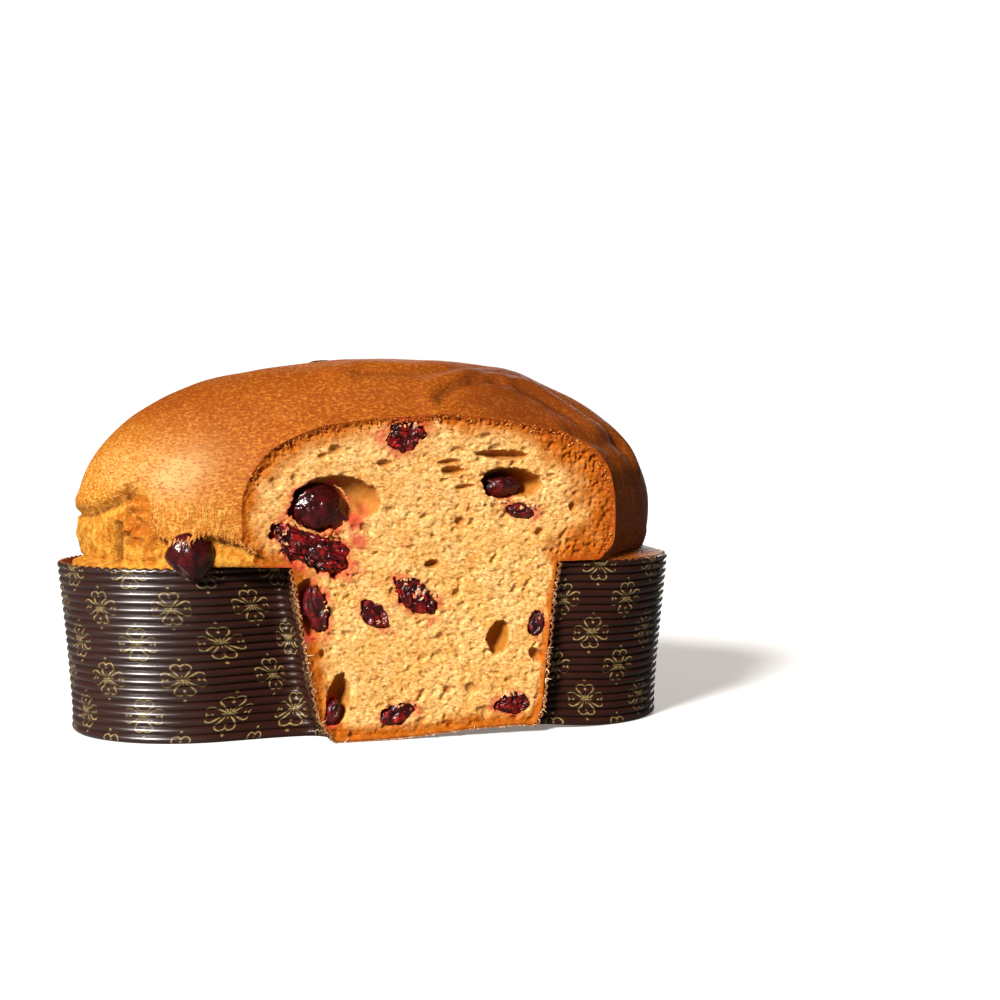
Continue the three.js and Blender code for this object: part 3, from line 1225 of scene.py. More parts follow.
    @staticmethod
    def normals(rows: Array) -> Array:
        """Outward directions of a grid of rings.

        Args:
            rows: Points, rings by angles by 3.

        Returns:
            One direction per point.
        """
        across = np.roll(rows, -1, axis=1) - np.roll(rows, 1, axis=1)
        along = np.gradient(rows, axis=0)
        normal = np.cross(across, along)
        return normal / np.maximum(np.linalg.norm(normal, axis=-1, keepdims=True), 1e-9)

    def sculpt(self, cap: Array) -> Array:
        """Unevenness, tears and folds of the crust; keeps what the finish needs in notes.

        Args:
            cap: Points, rings by angles by 3.

        Returns:
            The moved points.
        """
        y, z = cap[..., 1], cap[..., 2]
        theta = np.degrees(np.arctan2(y, cap[..., 0] - self.mould.heart)) % 360.0
        rim = smooth(z, self.mould.height, self.mould.height + 4)
        broad = fractal(cap, 38, 3, 2)
        lumps = noise(cap, 9, 5)
        small = noise(cap, 3.4, 6)
        tiny = noise(cap, 1.7, 7)
        push = 0.9 * broad + 0.22 * lumps

        # the skin's lower edge, and the dough that it tore from
        line = np.interp(theta, *np.array(self.edge).T) + 0.8 * small + 0.6 * tiny
        line -= 18.0 * fall(theta, 150, 174)
        torn_zone = smooth(window(theta + 4.0 * lumps, *self.torn_arc), 0.25, 0.75)
        below = torn_zone * fall(z, line - 0.9, line + 0.3)
        left = window(theta, *self.left_arc)
        lip = window(theta, *self.lip_arc)
        split = left * hump(z, line - 0.4, 0.9)
        push -= 1.5 * left * hump(z, line, 2.2) + 0.8 * split
        push += 0.9 * left * hump(z, line + 4.5, 3)
        push -= below * (0.3 * left + 1.6 * lip * smooth(z, 62, 66))
        push += lip * 0.7 * hump(z, line + 1.8, 1.6)
        push += 2.6 * hump(theta, 208.6, 5.5) * smooth(z, 70, 72.5) * fall(z, 74, 92)
        push += left * below * (0.9 * hump(z, 70.5, 5.5) + 0.7 * lumps + 0.6 * small + 0.45 * tiny)
        strokes = np.stack([theta * 1.7, np.zeros_like(theta), z * 0.3], axis=-1)
        folds = np.abs(noise(strokes, 9, 9))
        upright = 0.6 * left * below * fall(folds, 0, 0.08)
        main_fold = hump(theta, 195.6 + 0.09 * (z - 68), 0.6) * window(z, 58, 76, 3)
        upright = np.maximum(upright, main_fold)
        push -= 1.5 * upright

        patch = hump(theta, 199.8, 4.2) ** 2 * np.exp(-(((z - 79.0) / 9) ** 4))
        crag = capped(patch * 1.6) * below
        push += crag * (1.5 * small + 1.5 * tiny - 1.3)

        # shreds of the skin above the hanging cherry
        shreds = window(theta, *self.shred_arc) * window(z, 66, 82, 7)
        fibres = noise(np.stack([theta * 1.7, np.zeros_like(theta), z * 0.2], axis=-1), 1.3, 10)
        push += shreds * 0.35 * fibres

        right = window(theta, *self.right_arc)
        push += 0.6 * right * window(z, 60, 70, 3) * np.sin(np.radians(theta * 190.0) + 1.8 * lumps)
        stripes = window(theta, *self.stripe_arc) * window(z, 84, 112, 8)
        push += 0.12 * stripes * np.sin(np.radians(theta * 95.0) + 0.4 * z + 1.5 * lumps)
        back = window(theta, *self.back_arc) * window(z, 60, 70, 5)
        push += 0.35 * back * np.sin(np.radians(theta * 130.0) + 2.5 * lumps)
        push += 1.3 * window(theta, *self.rim_arc) * hump(z, 64.6, 2.6)

        # Painted shade: darker colour in the split, the upright folds, under the lip, in the crag's crevices
        # and along each fold below.
        crease = 0.75 * split + 0.55 * upright * (below + 0.3) + 0.5 * lip * hump(z, line - 1, 0.8)
        crease = np.maximum(crease, crag * smooth(-tiny, 0.25, 0.7) * 0.6)
        # painted shadow: a dark streak down the crust beside the right end of the cut
        at_cut = self.cut.measure(cap)
        painted_shadow_right_edge = hump(at_cut[..., 0], 101, 3) * window(z, 72, 96, 6)
        crease = np.maximum(crease, 0.45 * painted_shadow_right_edge * smooth(-at_cut[..., 2], -5, -1))
        for fold in self.creases:
            away = fold.distance(cap[..., :2])
            top = smooth(z, 88, 96) * smooth(-y, 0, 5)
            push += 1.1 * top * fold.depth * hump(away, 2.6 * fold.width, 2 * fold.width)
            mark = top * hump(away, 0, fold.width)
            push -= 1.4 * fold.depth * mark
            crease = np.maximum(crease, fold.tone * mark)

        torn = capped(left * below + crag + below * hump(theta, 200, 4) + 0.75 * lip * below)
        gold = hump(theta, 190, 22) * fall(z, 92, 122)
        gold = np.maximum(gold, 0.6 * hump(theta, 209, 16) * fall(z, 84, 108))
        # Darker crust: more baked towards the top, painted shade over the head end and along the torn lip,
        # and darker just above the rim.
        from_back = (theta + 90.0) % 360.0
        from_heart = np.hypot(cap[..., 0] - self.mould.heart, y)
        painted_shade_head = window(from_back, *self.painted_shade_arc) * smooth(from_heart, 6, 44)
        bake = smooth(z, 84, 132) * 0.4 + 0.75 * painted_shade_head + 0.25 * broad
        bake += 0.35 * lip * hump(z, line + 1, 2.5)
        bake += fall(z, 63.5, 67) * (1 - torn)
        # painted highlight on the front shoulder, where the lamp's highlight falls; the crust is also made
        # glossier there
        sheen = hump(theta, 205.6, 5.6) * hump(z, 94.5, 8.5) * (0.8 + 0.3 * small)
        sheen = np.maximum(sheen, 0.5 * hump(theta, 200, 11) * hump(z, 97, 7) * (0.8 + 0.5 * small))
        self.notes = {
            "torn": torn,
            "gold": capped(gold),
            "bake": capped(bake),
            "crag": crag,
            "crease": capped(crease),
            "sheen": capped(sheen),
            "fibre": capped(shreds + 0.5 * lip * window(z, line, line + 5, 4)) * (1 - torn),
        }
        return cap + self.normals(cap) * (push * rim)[..., None]

    def shell(self) -> Piece:
        """The uncut loaf.

        Returns:
            The piece, closed.
        """
        theta, _ = self.mould.angles(self.around, 270, self.fine)
        walls = self.wall_rows(theta)
        cap = self.sculpt(self.cap_rows(theta))
        self.skin = cap
        rows = np.concatenate([walls, cap])
        heart = self.mould.heart
        top = np.array([heart, 0, cap[-1, :, 2].mean() + 0.05])
        bare = np.zeros(walls.shape[:2])
        notes = {name: np.concatenate([bare, values]) for name, values in self.notes.items()}
        notes["torn"][len(walls) - 1] = notes["torn"][len(walls)]
        return wrapped("cake_loaf", rows, np.array([heart, 0, self.floor]), top, notes)

    def spot(self, angle: float, heights: Array) -> Array:
        """Points of the crust at an angle around the heart and at heights above the rim.

        Args:
            angle: In degrees, from +X.
            heights: Heights, within the lower part of the crust.

        Returns:
            One point per height.
        """
        around = np.degrees(np.arctan2(self.skin[20, :, 1], self.skin[20, :, 0] - self.mould.heart)) % 360.0
        column = self.skin[:50, np.argmin(np.abs(around - angle))]
        order = np.argsort(column[:, 2])
        places = [np.interp(heights, column[order, 2], column[order, axis]) for axis in range(3)]
        return np.stack(places, axis=-1)

    @staticmethod
    def outline(piece: Piece) -> list[int]:
        """The points around the open cut, in order.

        Args:
            piece: The loaf, open at the cut.

        Returns:
            Numbers of its points.
        """
        used = Counter(key for face in piece.data.polygons for key in face.edge_keys)
        links: dict[int, list[int]] = {}
        for (a, b), count in used.items():
            if count == 1:
                links.setdefault(a, []).append(b)
                links.setdefault(b, []).append(a)
        start = next(iter(links))
        loop = [start, links[start][0]]
        while True:
            following = [other for other in links[loop[-1]] if other != loop[-2]]
            if not following or following[0] == start:
                return loop
            loop.append(following[0])

    def face(self, piece: Piece) -> Piece:
        """Fills the cut with a fine lattice that carries the crumb.

        Args:
            piece: The loaf, open at the cut.

        Returns:
            The closed loaf.
        """
        loop = self.outline(piece)
        points = points_of(piece)
        self.ring = self.cut.measure(points[loop])[:, :2]
        crumb = Crumb(self.ring, self.lattice, self.cherries, self.hollows)
        inner = crumb.lattice_points()
        corners = [Vector(p) for p in self.ring.tolist()] + [Vector(p) for p in inner.tolist()]
        count, base = len(self.ring), len(points)
        edges = [(i, (i + 1) % count) for i in range(count)]
        out = delaunay_2d_cdt(corners, edges, [list(range(count))], 1, 1e-6)
        origin = [source[0] for source in out[3]]
        to_index = [loop[o] if o < count else base + o - count for o in origin]
        depth = crumb.sample(crumb.relief, inner)
        places = np.concatenate([points, self.cut.place(np.column_stack([inner, depth]))])
        old_faces = [tuple(f.vertices) for f in piece.data.polygons]
        new_faces = [tuple(to_index[v] for v in f) for f in out[2]]
        a, b, c = (places[v] for v in new_faces[0])
        flat, side = self.cut.direction
        if np.cross(b - a, c - a) @ np.array([side, -flat, 0]) < 0.0:
            new_faces = [f[::-1] for f in new_faces]
        closed = new_piece("cake", places, old_faces + new_faces)
        slots = np.zeros(len(closed.data.polygons), np.int32)
        slots[len(old_faces) :] = 1
        closed.data.polygons.foreach_set("material_index", slots)
        for name in self.notes:
            values = np.zeros(len(places), np.float32)
            piece.data.attributes[name].data.foreach_get("value", values[:base])
            keep(closed, name, values)
        for name, values in crumb.notes(self.ring, inner, depth).items():
            full = np.zeros(len(places), np.float32)
            full[loop] = values[:count]
            full[base:] = values[count:]
            keep(closed, name, full)
        bpy.data.objects.remove(piece)
        return named(closed, "cake_loaf")

    def build(self) -> Piece:
        """Makes the loaf and dresses it.

        Returns:
            The piece.
        """
        piece = self.shell()
        slice_off(piece, self.cut, fill=False)
        piece = self.face(piece)
        piece.data.materials.append(CrustFinish().material())
        piece.data.materials.append(CrumbFinish().material())
        shade(piece, 62)
        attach(piece, "root")
        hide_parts("cake")
        return piece


@dataclass
class Crumb:
    """Relief and tones of the cut face, worked out on points of its plane."""

    ring: Array
    spacing: float
    cherries: tuple[CutCherry, ...]
    hollows: tuple[Spot, ...]
    pores: int = 3600
    cell: float = 0.25
    coarse: int = 3
    spills: tuple[tuple[float, float, float, float], ...] = (
        (8.6, 77.6, 3, 0.8), (9.5, 70.5, 3.4, 0.62), (12, 81, 3.2, 0.4), (17.3, 107.4, 4, 0.5),
        (-8, 37.5, 3.4, 0.5), (-17.4, 62.2, 1.1, 1), (27.5, 70.5, 5, 0.22), (-15.5, 76, 3, 0.3),
        (71.5, 80.5, 3.5, 0.3), (36, 45.5, 2.4, 0.45),
    )

    def __post_init__(self) -> None:
        """Draws the relief once on a fine chart."""
        self.low = self.ring.min(0) - 1.0
        span = self.ring.max(0) + 1 - self.low
        blocks = (span / self.cell / self.coarse).astype(int) + 2
        self.columns, self.rows = (blocks * self.coarse + 1).tolist()
        a = self.low[0] + np.arange(self.columns) * self.cell
        u = self.low[1] + np.arange(self.rows) * self.cell
        self.a, self.u = np.meshgrid(a, u)
        self.chart = on_plane(self.a, self.u)
        self.edge = self.edge_chart()
        self.relief = self.draw()

    def edge_chart(self) -> Array:
        """Distance from the outline of the cut, worked out on a coarser chart.

        Returns:
            Distances over the chart.
        """
        points = self.chart[:: self.coarse, :: self.coarse, :2]
        nearest = np.full(points.shape[:2], 1e9)
        for start, end in zip(self.ring, np.roll(self.ring, -1, axis=0)):
            if np.linalg.norm(end - start) > 1e-6:
                np.minimum(nearest, segment_distance(points, start, end), out=nearest)
        rows = np.arange(self.rows) / self.coarse
        columns = np.arange(self.columns) / self.coarse
        tall = np.array([np.interp(rows, np.arange(len(nearest)), line) for line in nearest.T]).T
        return np.array([np.interp(columns, np.arange(tall.shape[1]), line) for line in tall])

    def sample(self, chart: Array, points: Array) -> Array:
        """Reads a chart at points of the plane, between its cells.

        Args:
            chart: Numbers over the chart.
            points: Places as along and up.

        Returns:
            One number per place.
        """
        spot = (points - self.low) / self.cell
        column = np.clip(np.floor(spot[..., 0]).astype(int), 0, self.columns - 2)
        row = np.clip(np.floor(spot[..., 1]).astype(int), 0, self.rows - 2)
        s, t = capped(spot[..., 0] - column), capped(spot[..., 1] - row)
        lower = chart[row, column] * (1 - s) + chart[row, column + 1] * s
        upper = chart[row + 1, column] * (1 - s) + chart[row + 1, column + 1] * s
        return lower * (1 - t) + upper * t

    @staticmethod
    def flanks(along: Array, up: Array) -> tuple[Array, Array]:
        """How much a place belongs to the left and to the right flank of the crumb.

        Args:
            along: Places along the cut.
            up: Their heights.

        Returns:
            Shares for the left and for the right.
        """
        top = smooth(up, 84, 104)
        left = fall(along, -16, 26) * (1 - top)
        return left, smooth(along, 58, 96) * (1 - top)

    def shreds(self, size: float, seed: int) -> Array:
        """Walls and gaps of small cells, drawn out along the crumb's rise on the flanks.

        Args:
            size: Width of the cells.
            seed: Picks one pattern.

        Returns:
            0 on the walls to about 1 in the gaps, over the chart.
        """
        left, right = self.flanks(self.a, self.u)
        total = np.zeros_like(self.a)
        for weight, turn in ((left, -64), (1 - left - right, -6), (right, 58)):
            flat, side = turned(turn)
            drawn = (self.a * flat + self.u * side) * 0.5
            across = -self.a * side + self.u * flat
            total += weight * np.abs(noise(on_plane(drawn, across), size, seed))
        return total

    def draw(self) -> Array:
        """Depth of the crumb behind the knife's plane, over the chart.

        Returns:
            Depths over the chart.
        """
        rng = np.random.default_rng(11)
        patchy = 0.75 + 0.5 * noise(self.chart, 11, 48)
        relief = 0.15 + 0.25 * fractal(self.chart, 9, 41, 2)
        relief += patchy * (0.32 * self.shreds(2.3, 45) + 0.26 * self.shreds(1.2, 49))
        relief += 0.1 * noise(self.chart, 0.8, 42)
        places = rng.uniform(self.ring.min(0), self.ring.max(0), (self.pores, 2))
        left, right = self.flanks(places[:, 0], places[:, 1])
        turns = np.radians(-62.0 * left + 58.0 * right - 6.0 + rng.normal(0, 26, self.pores))
        crowd = noise(on_plane(*places.T), 15, 43)
        sizes = np.exp(rng.normal(-0.75, 0.5, self.pores) + 0.35 * crowd).clip(0.25, 1.9)
        stretch = rng.uniform(1.1, 2.6, self.pores)
        self.pits = np.zeros_like(self.a)
        for (pa, pu), size, long, turn in zip(places, sizes, stretch, turns):
            self.pit(pa, pu, size * math.sqrt(long), size / math.sqrt(long), turn, 0.75 * size)
        warp = [
            0.55 * noise(self.chart, 1.9, seed) + 0.3 * noise(self.chart, 0.9, seed)
            for seed in (46, 47)
        ]
        self.pits = self.sample(self.pits, self.chart[..., :2] + np.stack(warp, axis=-1))
        relief += self.pits
        self.ochre = np.zeros_like(self.a)
        for hollow in self.hollows:
            radius = hollow.radius(self.a, self.u)
            bowl = hollow.depth * np.sqrt(capped(1 - radius**2))
            inside = smooth(-radius, -1.02, -0.9)
            relief = np.maximum(relief * (1 - 0.85 * inside), bowl)
            self.ochre = np.maximum(self.ochre, hollow.ochre * inside)
        for cherry in self.cherries:
            radius = cherry.spot.radius(self.a, self.u, 0.35)
            bowl = (cherry.inward + cherry.spot.depth / 2 + 0.6) * capped(1 - radius**2) ** 0.4
            relief = np.maximum(relief, bowl)
        crusty = smooth(self.u, 84, 92) + smooth(self.a, 70, 92) * smooth(self.u, 62, 66)
        rough = np.abs(fractal(self.chart, 1.8, 44, 2)) * (0.4 + 0.8 * capped(crusty))
        flank = smooth(self.a, 72, 90) * smooth(self.u, 60, 66)
        relief += 1.1 * rough * fall(self.edge, 2 + 4.0 * flank, 5.5 + 8.0 * flank)
        return np.maximum(relief, 0) * smooth(self.edge, 0, 1.8)

    def pit(self, along: float, up: float, long: float, short: float, turn: float, depth: float) -> None:
        """Presses one oval pore into the chart.

        Args:
            along: Its middle, along the cut.
            up: Its middle's height.
            long: Half of its length.
            short: Half of its width.
            turn: Its turn, in radians.
            depth: Its depth.
        """
        reach = int(long / self.cell) + 2
        column = int((along - self.low[0]) / self.cell)
        row = int((up - self.low[1]) / self.cell)
        rows = slice(max(row - reach, 0), row + reach + 1)
        columns = slice(max(column - reach, 0), column + reach + 1)
        dx, dy = self.a[rows, columns] - along, self.u[rows, columns] - up
        x = (dx * math.cos(turn) + dy * math.sin(turn)) / long
        y = (-dx * math.sin(turn) + dy * math.cos(turn)) / short
        bowl = depth * np.sqrt(capped(1 - x * x - y * y))
        np.maximum(self.pits[rows, columns], bowl, out=self.pits[rows, columns])

    def lattice_points(self) -> Array:
        """Points of an offset lattice inside the outline.

        Returns:
            Places as along and up.
        """
        rng = np.random.default_rng(12)
        low, high = self.ring.min(0), self.ring.max(0)
        step = self.spacing
        a = np.arange(low[0], high[0], step)
        u = np.arange(low[1], high[1], step * math.sqrt(0.75))
        grid_a, grid_u = np.meshgrid(a, u)
        grid_a = grid_a + (np.arange(len(u)) % 2)[:, None] * step / 2
        points = np.stack([grid_a.ravel(), grid_u.ravel()], axis=1)
        points += rng.uniform(-0.12, 0.12, points.shape) * step
        inside = np.zeros(len(points), bool)
        for (ax, ay), (bx, by) in zip(self.ring, np.roll(self.ring, -1, axis=0)):
            if ay == by:
                continue
            crosses = (ay > points[:, 1]) != (by > points[:, 1])
            inside ^= crosses & (points[:, 0] < ax + (points[:, 1] - ay) * (bx - ax) / (by - ay))
        points = points[inside]
        return points[self.sample(self.edge, points) > step * 0.6]

    def notes(self, ring: Array, inner: Array, depth: Array) -> dict[str, Array]:
        """Tones of the crumb at the outline's points and the inner ones.

        Args:
            ring: The outline's points.
            inner: The points inside it.
            depth: Depth of the inner ones.

        Returns:
            Tones by name, the outline first.
        """
        points = np.concatenate([ring, inner])
        along, up = points.T
        flat = on_plane(along, up)
        bare = np.zeros(len(ring))
        edge = np.concatenate([bare, self.sample(self.edge, inner)])
        wander = fractal(flat, 7, 51, 3)
        dome = smooth(up, 60, 66)
        right = smooth(along, 70, 92) * dome
        left = fall(along, -22, -8) * dome
        top = smooth(up, 90, 100)
        low = fall(up, 4, 12)
        foot = (1 - dome) * fall(along, 2, 10)
        reach = 2.6 + 2.6 * top + 13.0 * right + 3.4 * left + 3.4 * low + 2.4 * foot
        reach = reach * (1 + 0.5 * wander)
        toast = capped(1.3 - edge / np.maximum(reach, 0.5))
        crusty = capped(smooth(up, 84, 94) + 0.8 * right + 0.5 * left)
        rind = capped(1.15 - edge / (0.4 + (1.7 * crusty + 2.6 * right) * (1 + 0.5 * wander)))
        stain = np.zeros(len(points))
        for cherry in self.cherries:
            radius = cherry.spot.radius(along, up)
            span = min(cherry.spot.width, cherry.spot.height) / 2
            away = np.maximum(radius - 1.0, 0) * span
            halo = np.exp(-((away / cherry.stain) ** 1.6)) * (0.62 + 0.4 * noise(flat, 3, 52))
            inside = smooth(-radius, -1.03, -0.9)
            stain = np.maximum(stain, np.maximum(halo * 0.66, inside * 0.95))
        for a, u, size, strength in self.spills:
            away = np.hypot(along - a, up - u) * (1 + 0.4 * noise(flat, 2.5, 53))
            stain = np.maximum(stain, strength * np.exp(-((away / size) ** 2)))
        # painted shade: darker with the depth of the relief
        pore = np.clip((np.concatenate([bare, depth]) - 0.95) / 1.5, 0, 0.85)
        ochre = np.concatenate([bare, self.sample(self.ochre, inner)])
        pore *= 1 - ochre
        return {"toast": toast, "rind": rind, "stain": capped(stain), "pore": pore, "ochre": ochre}


@dataclass
class BakingPaper:
    """The pleated case, cut open in the plane of the knife."""

    mould: Mould
    cut: CutPlane
    around: int = 440
    steps: int = 6
    inner_steps: int = 2
    depth: float = 0.95
    sunk: float = 0.35
    thickness: float = 0.45
    scallop: float = 3.9
    scallop_depth: float = 0.9

    def profile(self, z: Array) -> Array:
        """How far the rounded pleats stand out at a height."""
        return self.depth * np.abs(np.sin(math.pi * z / self.mould.pitch)) ** 0.7

    def build(self) -> Piece:
        """Makes the case and dresses it.

        Returns:
            The piece.
        """
        mould = self.mould
        theta, strip = mould.angles(self.around, 270, (200.0, 40, 0.4))
        uneven = strip + noise(on_plane(strip, 0.0 * strip), 9, 60)
        rim = np.abs(np.sin(math.pi * uneven / self.scallop)) * self.scallop_depth
        rows, crest, heights = [], [], []

        def lay(z: float, out: float, scale: float = 1.0, ridge: float = 0.0) -> None:
            """Adds one ring, moved out along the wall's own level direction.

            Args:
                z: Height.
                out: Its way outward.
                scale: Share of the radius.
                ridge: 0 in a gap and 1 on a crest.
            """
            spots = mould.ring(theta, z, np.zeros_like(theta), scale)
            spots += mould.outward(spots) * out
            share = smooth(spots[..., 2], mould.height - mould.pitch, mould.height)
            spots[..., 2] -= share * (self.scallop_depth - rim)
            rows.append(spots)
            crest.append(np.full_like(theta, ridge))
            heights.append(np.full_like(theta, z))

        for scale in (0.5, 0.85):
            lay(0.0, 0, scale)
        for z in np.linspace(0, mould.height, mould.pleats * self.steps + 1):
            out = self.profile(z)
            lay(z, out - self.sunk, ridge=out / self.depth)
        outside = len(rows)
        for z in np.linspace(mould.height, 0, mould.pleats * self.inner_steps + 1)[:-1]:
            lay(z, 0.8 * self.profile(z) - self.sunk - self.thickness)
        for scale in (0.98, 0.85, 0.5):
            lay(self.thickness, -self.thickness, scale)
        grid = np.array(rows)
        wobble = 0.35 * noise(grid * (1, 1, 0.35), 13, 61)
        wobble += 0.35 * noise(grid, 34, 62)
        grid += mould.outward(grid) * (wobble * smooth(grid[..., 2], 1, 8))[..., None]
        drift = noise(grid * (1, 1, 0.2), 20, 63) * 0.35
        grid[..., 2] += drift * window(grid[..., 2], 6, mould.height - 4, 5)
        grid = self.cut.lift(grid, mould.height)
        inner = np.zeros(grid.shape[:2])
        inner[outside:] = 1.0
        notes = {
            "strip": np.broadcast_to(strip, inner.shape),
            "crest": np.array(crest),
            "height": np.array(heights),
            "inner": inner,
        }
        foot = np.array([mould.heart, 0, 0])
        piece = wrapped("baking_paper", grid, foot, foot + np.array([0.0, 0, self.thickness]), notes)
        slice_off(piece, self.cut, fill=True)
        self.dress(piece)
        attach(piece, "root")
        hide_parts("paper_case")
        return piece

    def dress(self, piece: Piece) -> None:
        """Gives the printed side and the inside their finishes.

        Args:
            piece: The piece.
        """
        finish = PaperFinish()
        piece.data.materials.append(finish.material())
        piece.data.materials.append(finish.inside())
        inner = np.empty(len(piece.data.vertices))
        piece.data.attributes["inner"].data.foreach_get("value", inner)
        slots = [
            int(inner[f.vertices[0]] + inner[f.vertices[-2]] > 0.3 or len(f.vertices) > 4)
            for f in piece.data.polygons
        ]
        piece.data.polygons.foreach_set("material_index", slots)
        shade(piece, 75)


@dataclass
class Cherries:
    """All the fruit: cut cherries in the face and whole ones outside."""

    cut: CutPlane
    cherries: tuple[CutCherry, ...]
    proud: float = 0.5

    def ball(self, name: str, detail: int) -> tuple[Piece, Array]:
        """A fine unit ball and the directions of its points.

        Args:
            name: The piece's name.
            detail: Number of subdivisions.

        Returns:
            The piece, and one direction per point.
        """
        deselect()
        bpy.ops.mesh.primitive_ico_sphere_add(subdivisions=detail, radius=1.0)
        piece = named(bpy.context.object, name)
        return piece, points_of(piece) * MM

    def lumps(self, unit: Array, size: float, seed: int) -> Array:
        """Height, from 0 in the gaps to 1 on the crests, of a torn and folded surface."""
        bent = unit + 0.2 * np.stack([noise(unit, 0.4, seed + axis) for axis in range(3)], axis=-1)
        return smooth(np.abs(fractal(bent, size, seed + 5, 2)), 0, 0.42)

    def cut_cherry(self, cherry: CutCherry, seed: int) -> Piece:
        """One cherry in the cut face, torn roughly where the knife passed.

        Args:
            cherry: Its place and kind.
            seed: Picks one shape.

        Returns:
            The piece.
        """
        spot = cherry.spot
        piece, unit = self.ball(cherry.name + "_fruit", 6 if spot.width > 16.0 else 5)
        rough, size, tear = {
            Fruit.SKIN: (0.05, 0.9, 0.3),
            Fruit.PULP: (0.15, 11.0 / spot.width, 1.4),
            Fruit.DRY: (0.13, 0.9, 0.8),
        }[cherry.fruit]
        crest = self.lumps(unit, size, 70 + seed)
        swell = 1 + rough * fractal(unit, 0.5, 71 + seed, 3) + (crest - 0.6) * rough * 0.5
        if cherry.fruit is Fruit.SKIN:
            swell += 0.24 * np.exp(-(1 - unit @ np.array([0.78, -0.36, -0.51])) / 0.05)
        flat, side = turned(spot.tilt)
        half = np.array([spot.width, spot.depth, spot.height]) / 2
        for _ in range(2):
            local = unit * swell[:, None] * half
            along = spot.along + local[:, 0] * flat - local[:, 2] * side
            up = spot.up + local[:, 0] * side + local[:, 2] * flat
            plain = np.hypot(local[:, 0] / half[0], local[:, 2] / half[2])
            share = spot.radius(along, up) / np.maximum(plain, 1e-6)
            swell = swell / np.clip(share, 0.6, 1.7) ** 0.5
        inward = cherry.inward + local[:, 1]
        worn = fractal(on_plane(along, up), 3.4, 81 + seed, 3)
        front = -self.proud + tear * (0.55 + 0.5 * worn + 0.6 * (0.7 - crest))
        inward = np.where(inward < front, front + 0.08 * (inward - front), inward)
        move(piece, self.cut.place(np.stack([along, up, np.maximum(inward, -self.proud)], axis=-1)))
        keep(piece, "crest", crest)
        return self.finish(piece, cherry.name, cherry.fruit)

    def finish(self, piece: Piece, node: str, fruit: Fruit) -> Piece:
        """Shades, dresses and places one cherry.

        Args:
            piece: The piece.
            node: Its solid.
            fruit: Kind of surface.

        Returns:
            The piece.
        """
        shade(piece, 80)
        piece.data.materials.append(CherryFinish().material(fruit))
        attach(piece, "root")
        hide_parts(node)
        return piece

    def whole(self, node: str, middle: Triple, size: Triple, seed: int, taper: float = 0.0) -> Piece:
        """A whole cherry outside the crust, slightly shrivelled.

        Args:
            node: Its solid.
            middle: Its middle.
            size: Its length, width and height.
            seed: Picks one shape.
            taper: How much narrower it is below.

        Returns:
            The piece.
        """
        piece, unit = self.ball(node + "_fruit", 6)
        folds = np.abs(noise(unit * (1, 1, 0.35), 0.8, seed))
        crest = smooth(folds, 0, 0.6)
        swell = 1 + 0.12 * fractal(unit, 0.9, seed + 1, 3) - 0.045 * (1 - crest)
        shape = unit * swell[:, None]
        low = np.maximum(-shape[:, 2], 0)
        shape[:, 0] = shape[:, 0] * (1 - taper * low**1.5) + 0.6 * taper * low
        move(piece, np.array(middle) + shape * np.array(size) / 2)
        keep(piece, "crest", crest)
        return self.finish(piece, node, Fruit.SKIN)

    def build(self) -> list[Piece]:
        """Makes every cherry.

        Returns:
            The pieces.
        """
        pieces = [self.cut_cherry(cherry, seed) for seed, cherry in enumerate(self.cherries)]
        pieces.append(self.whole("cherry_hanging", HANGING, (17.0, 13, 18), 91, 0.4))
        pieces.append(self.whole("cherry_crown", (-18.0, 3, 134), (15.4, 9, 4.6), 92))
        return pieces


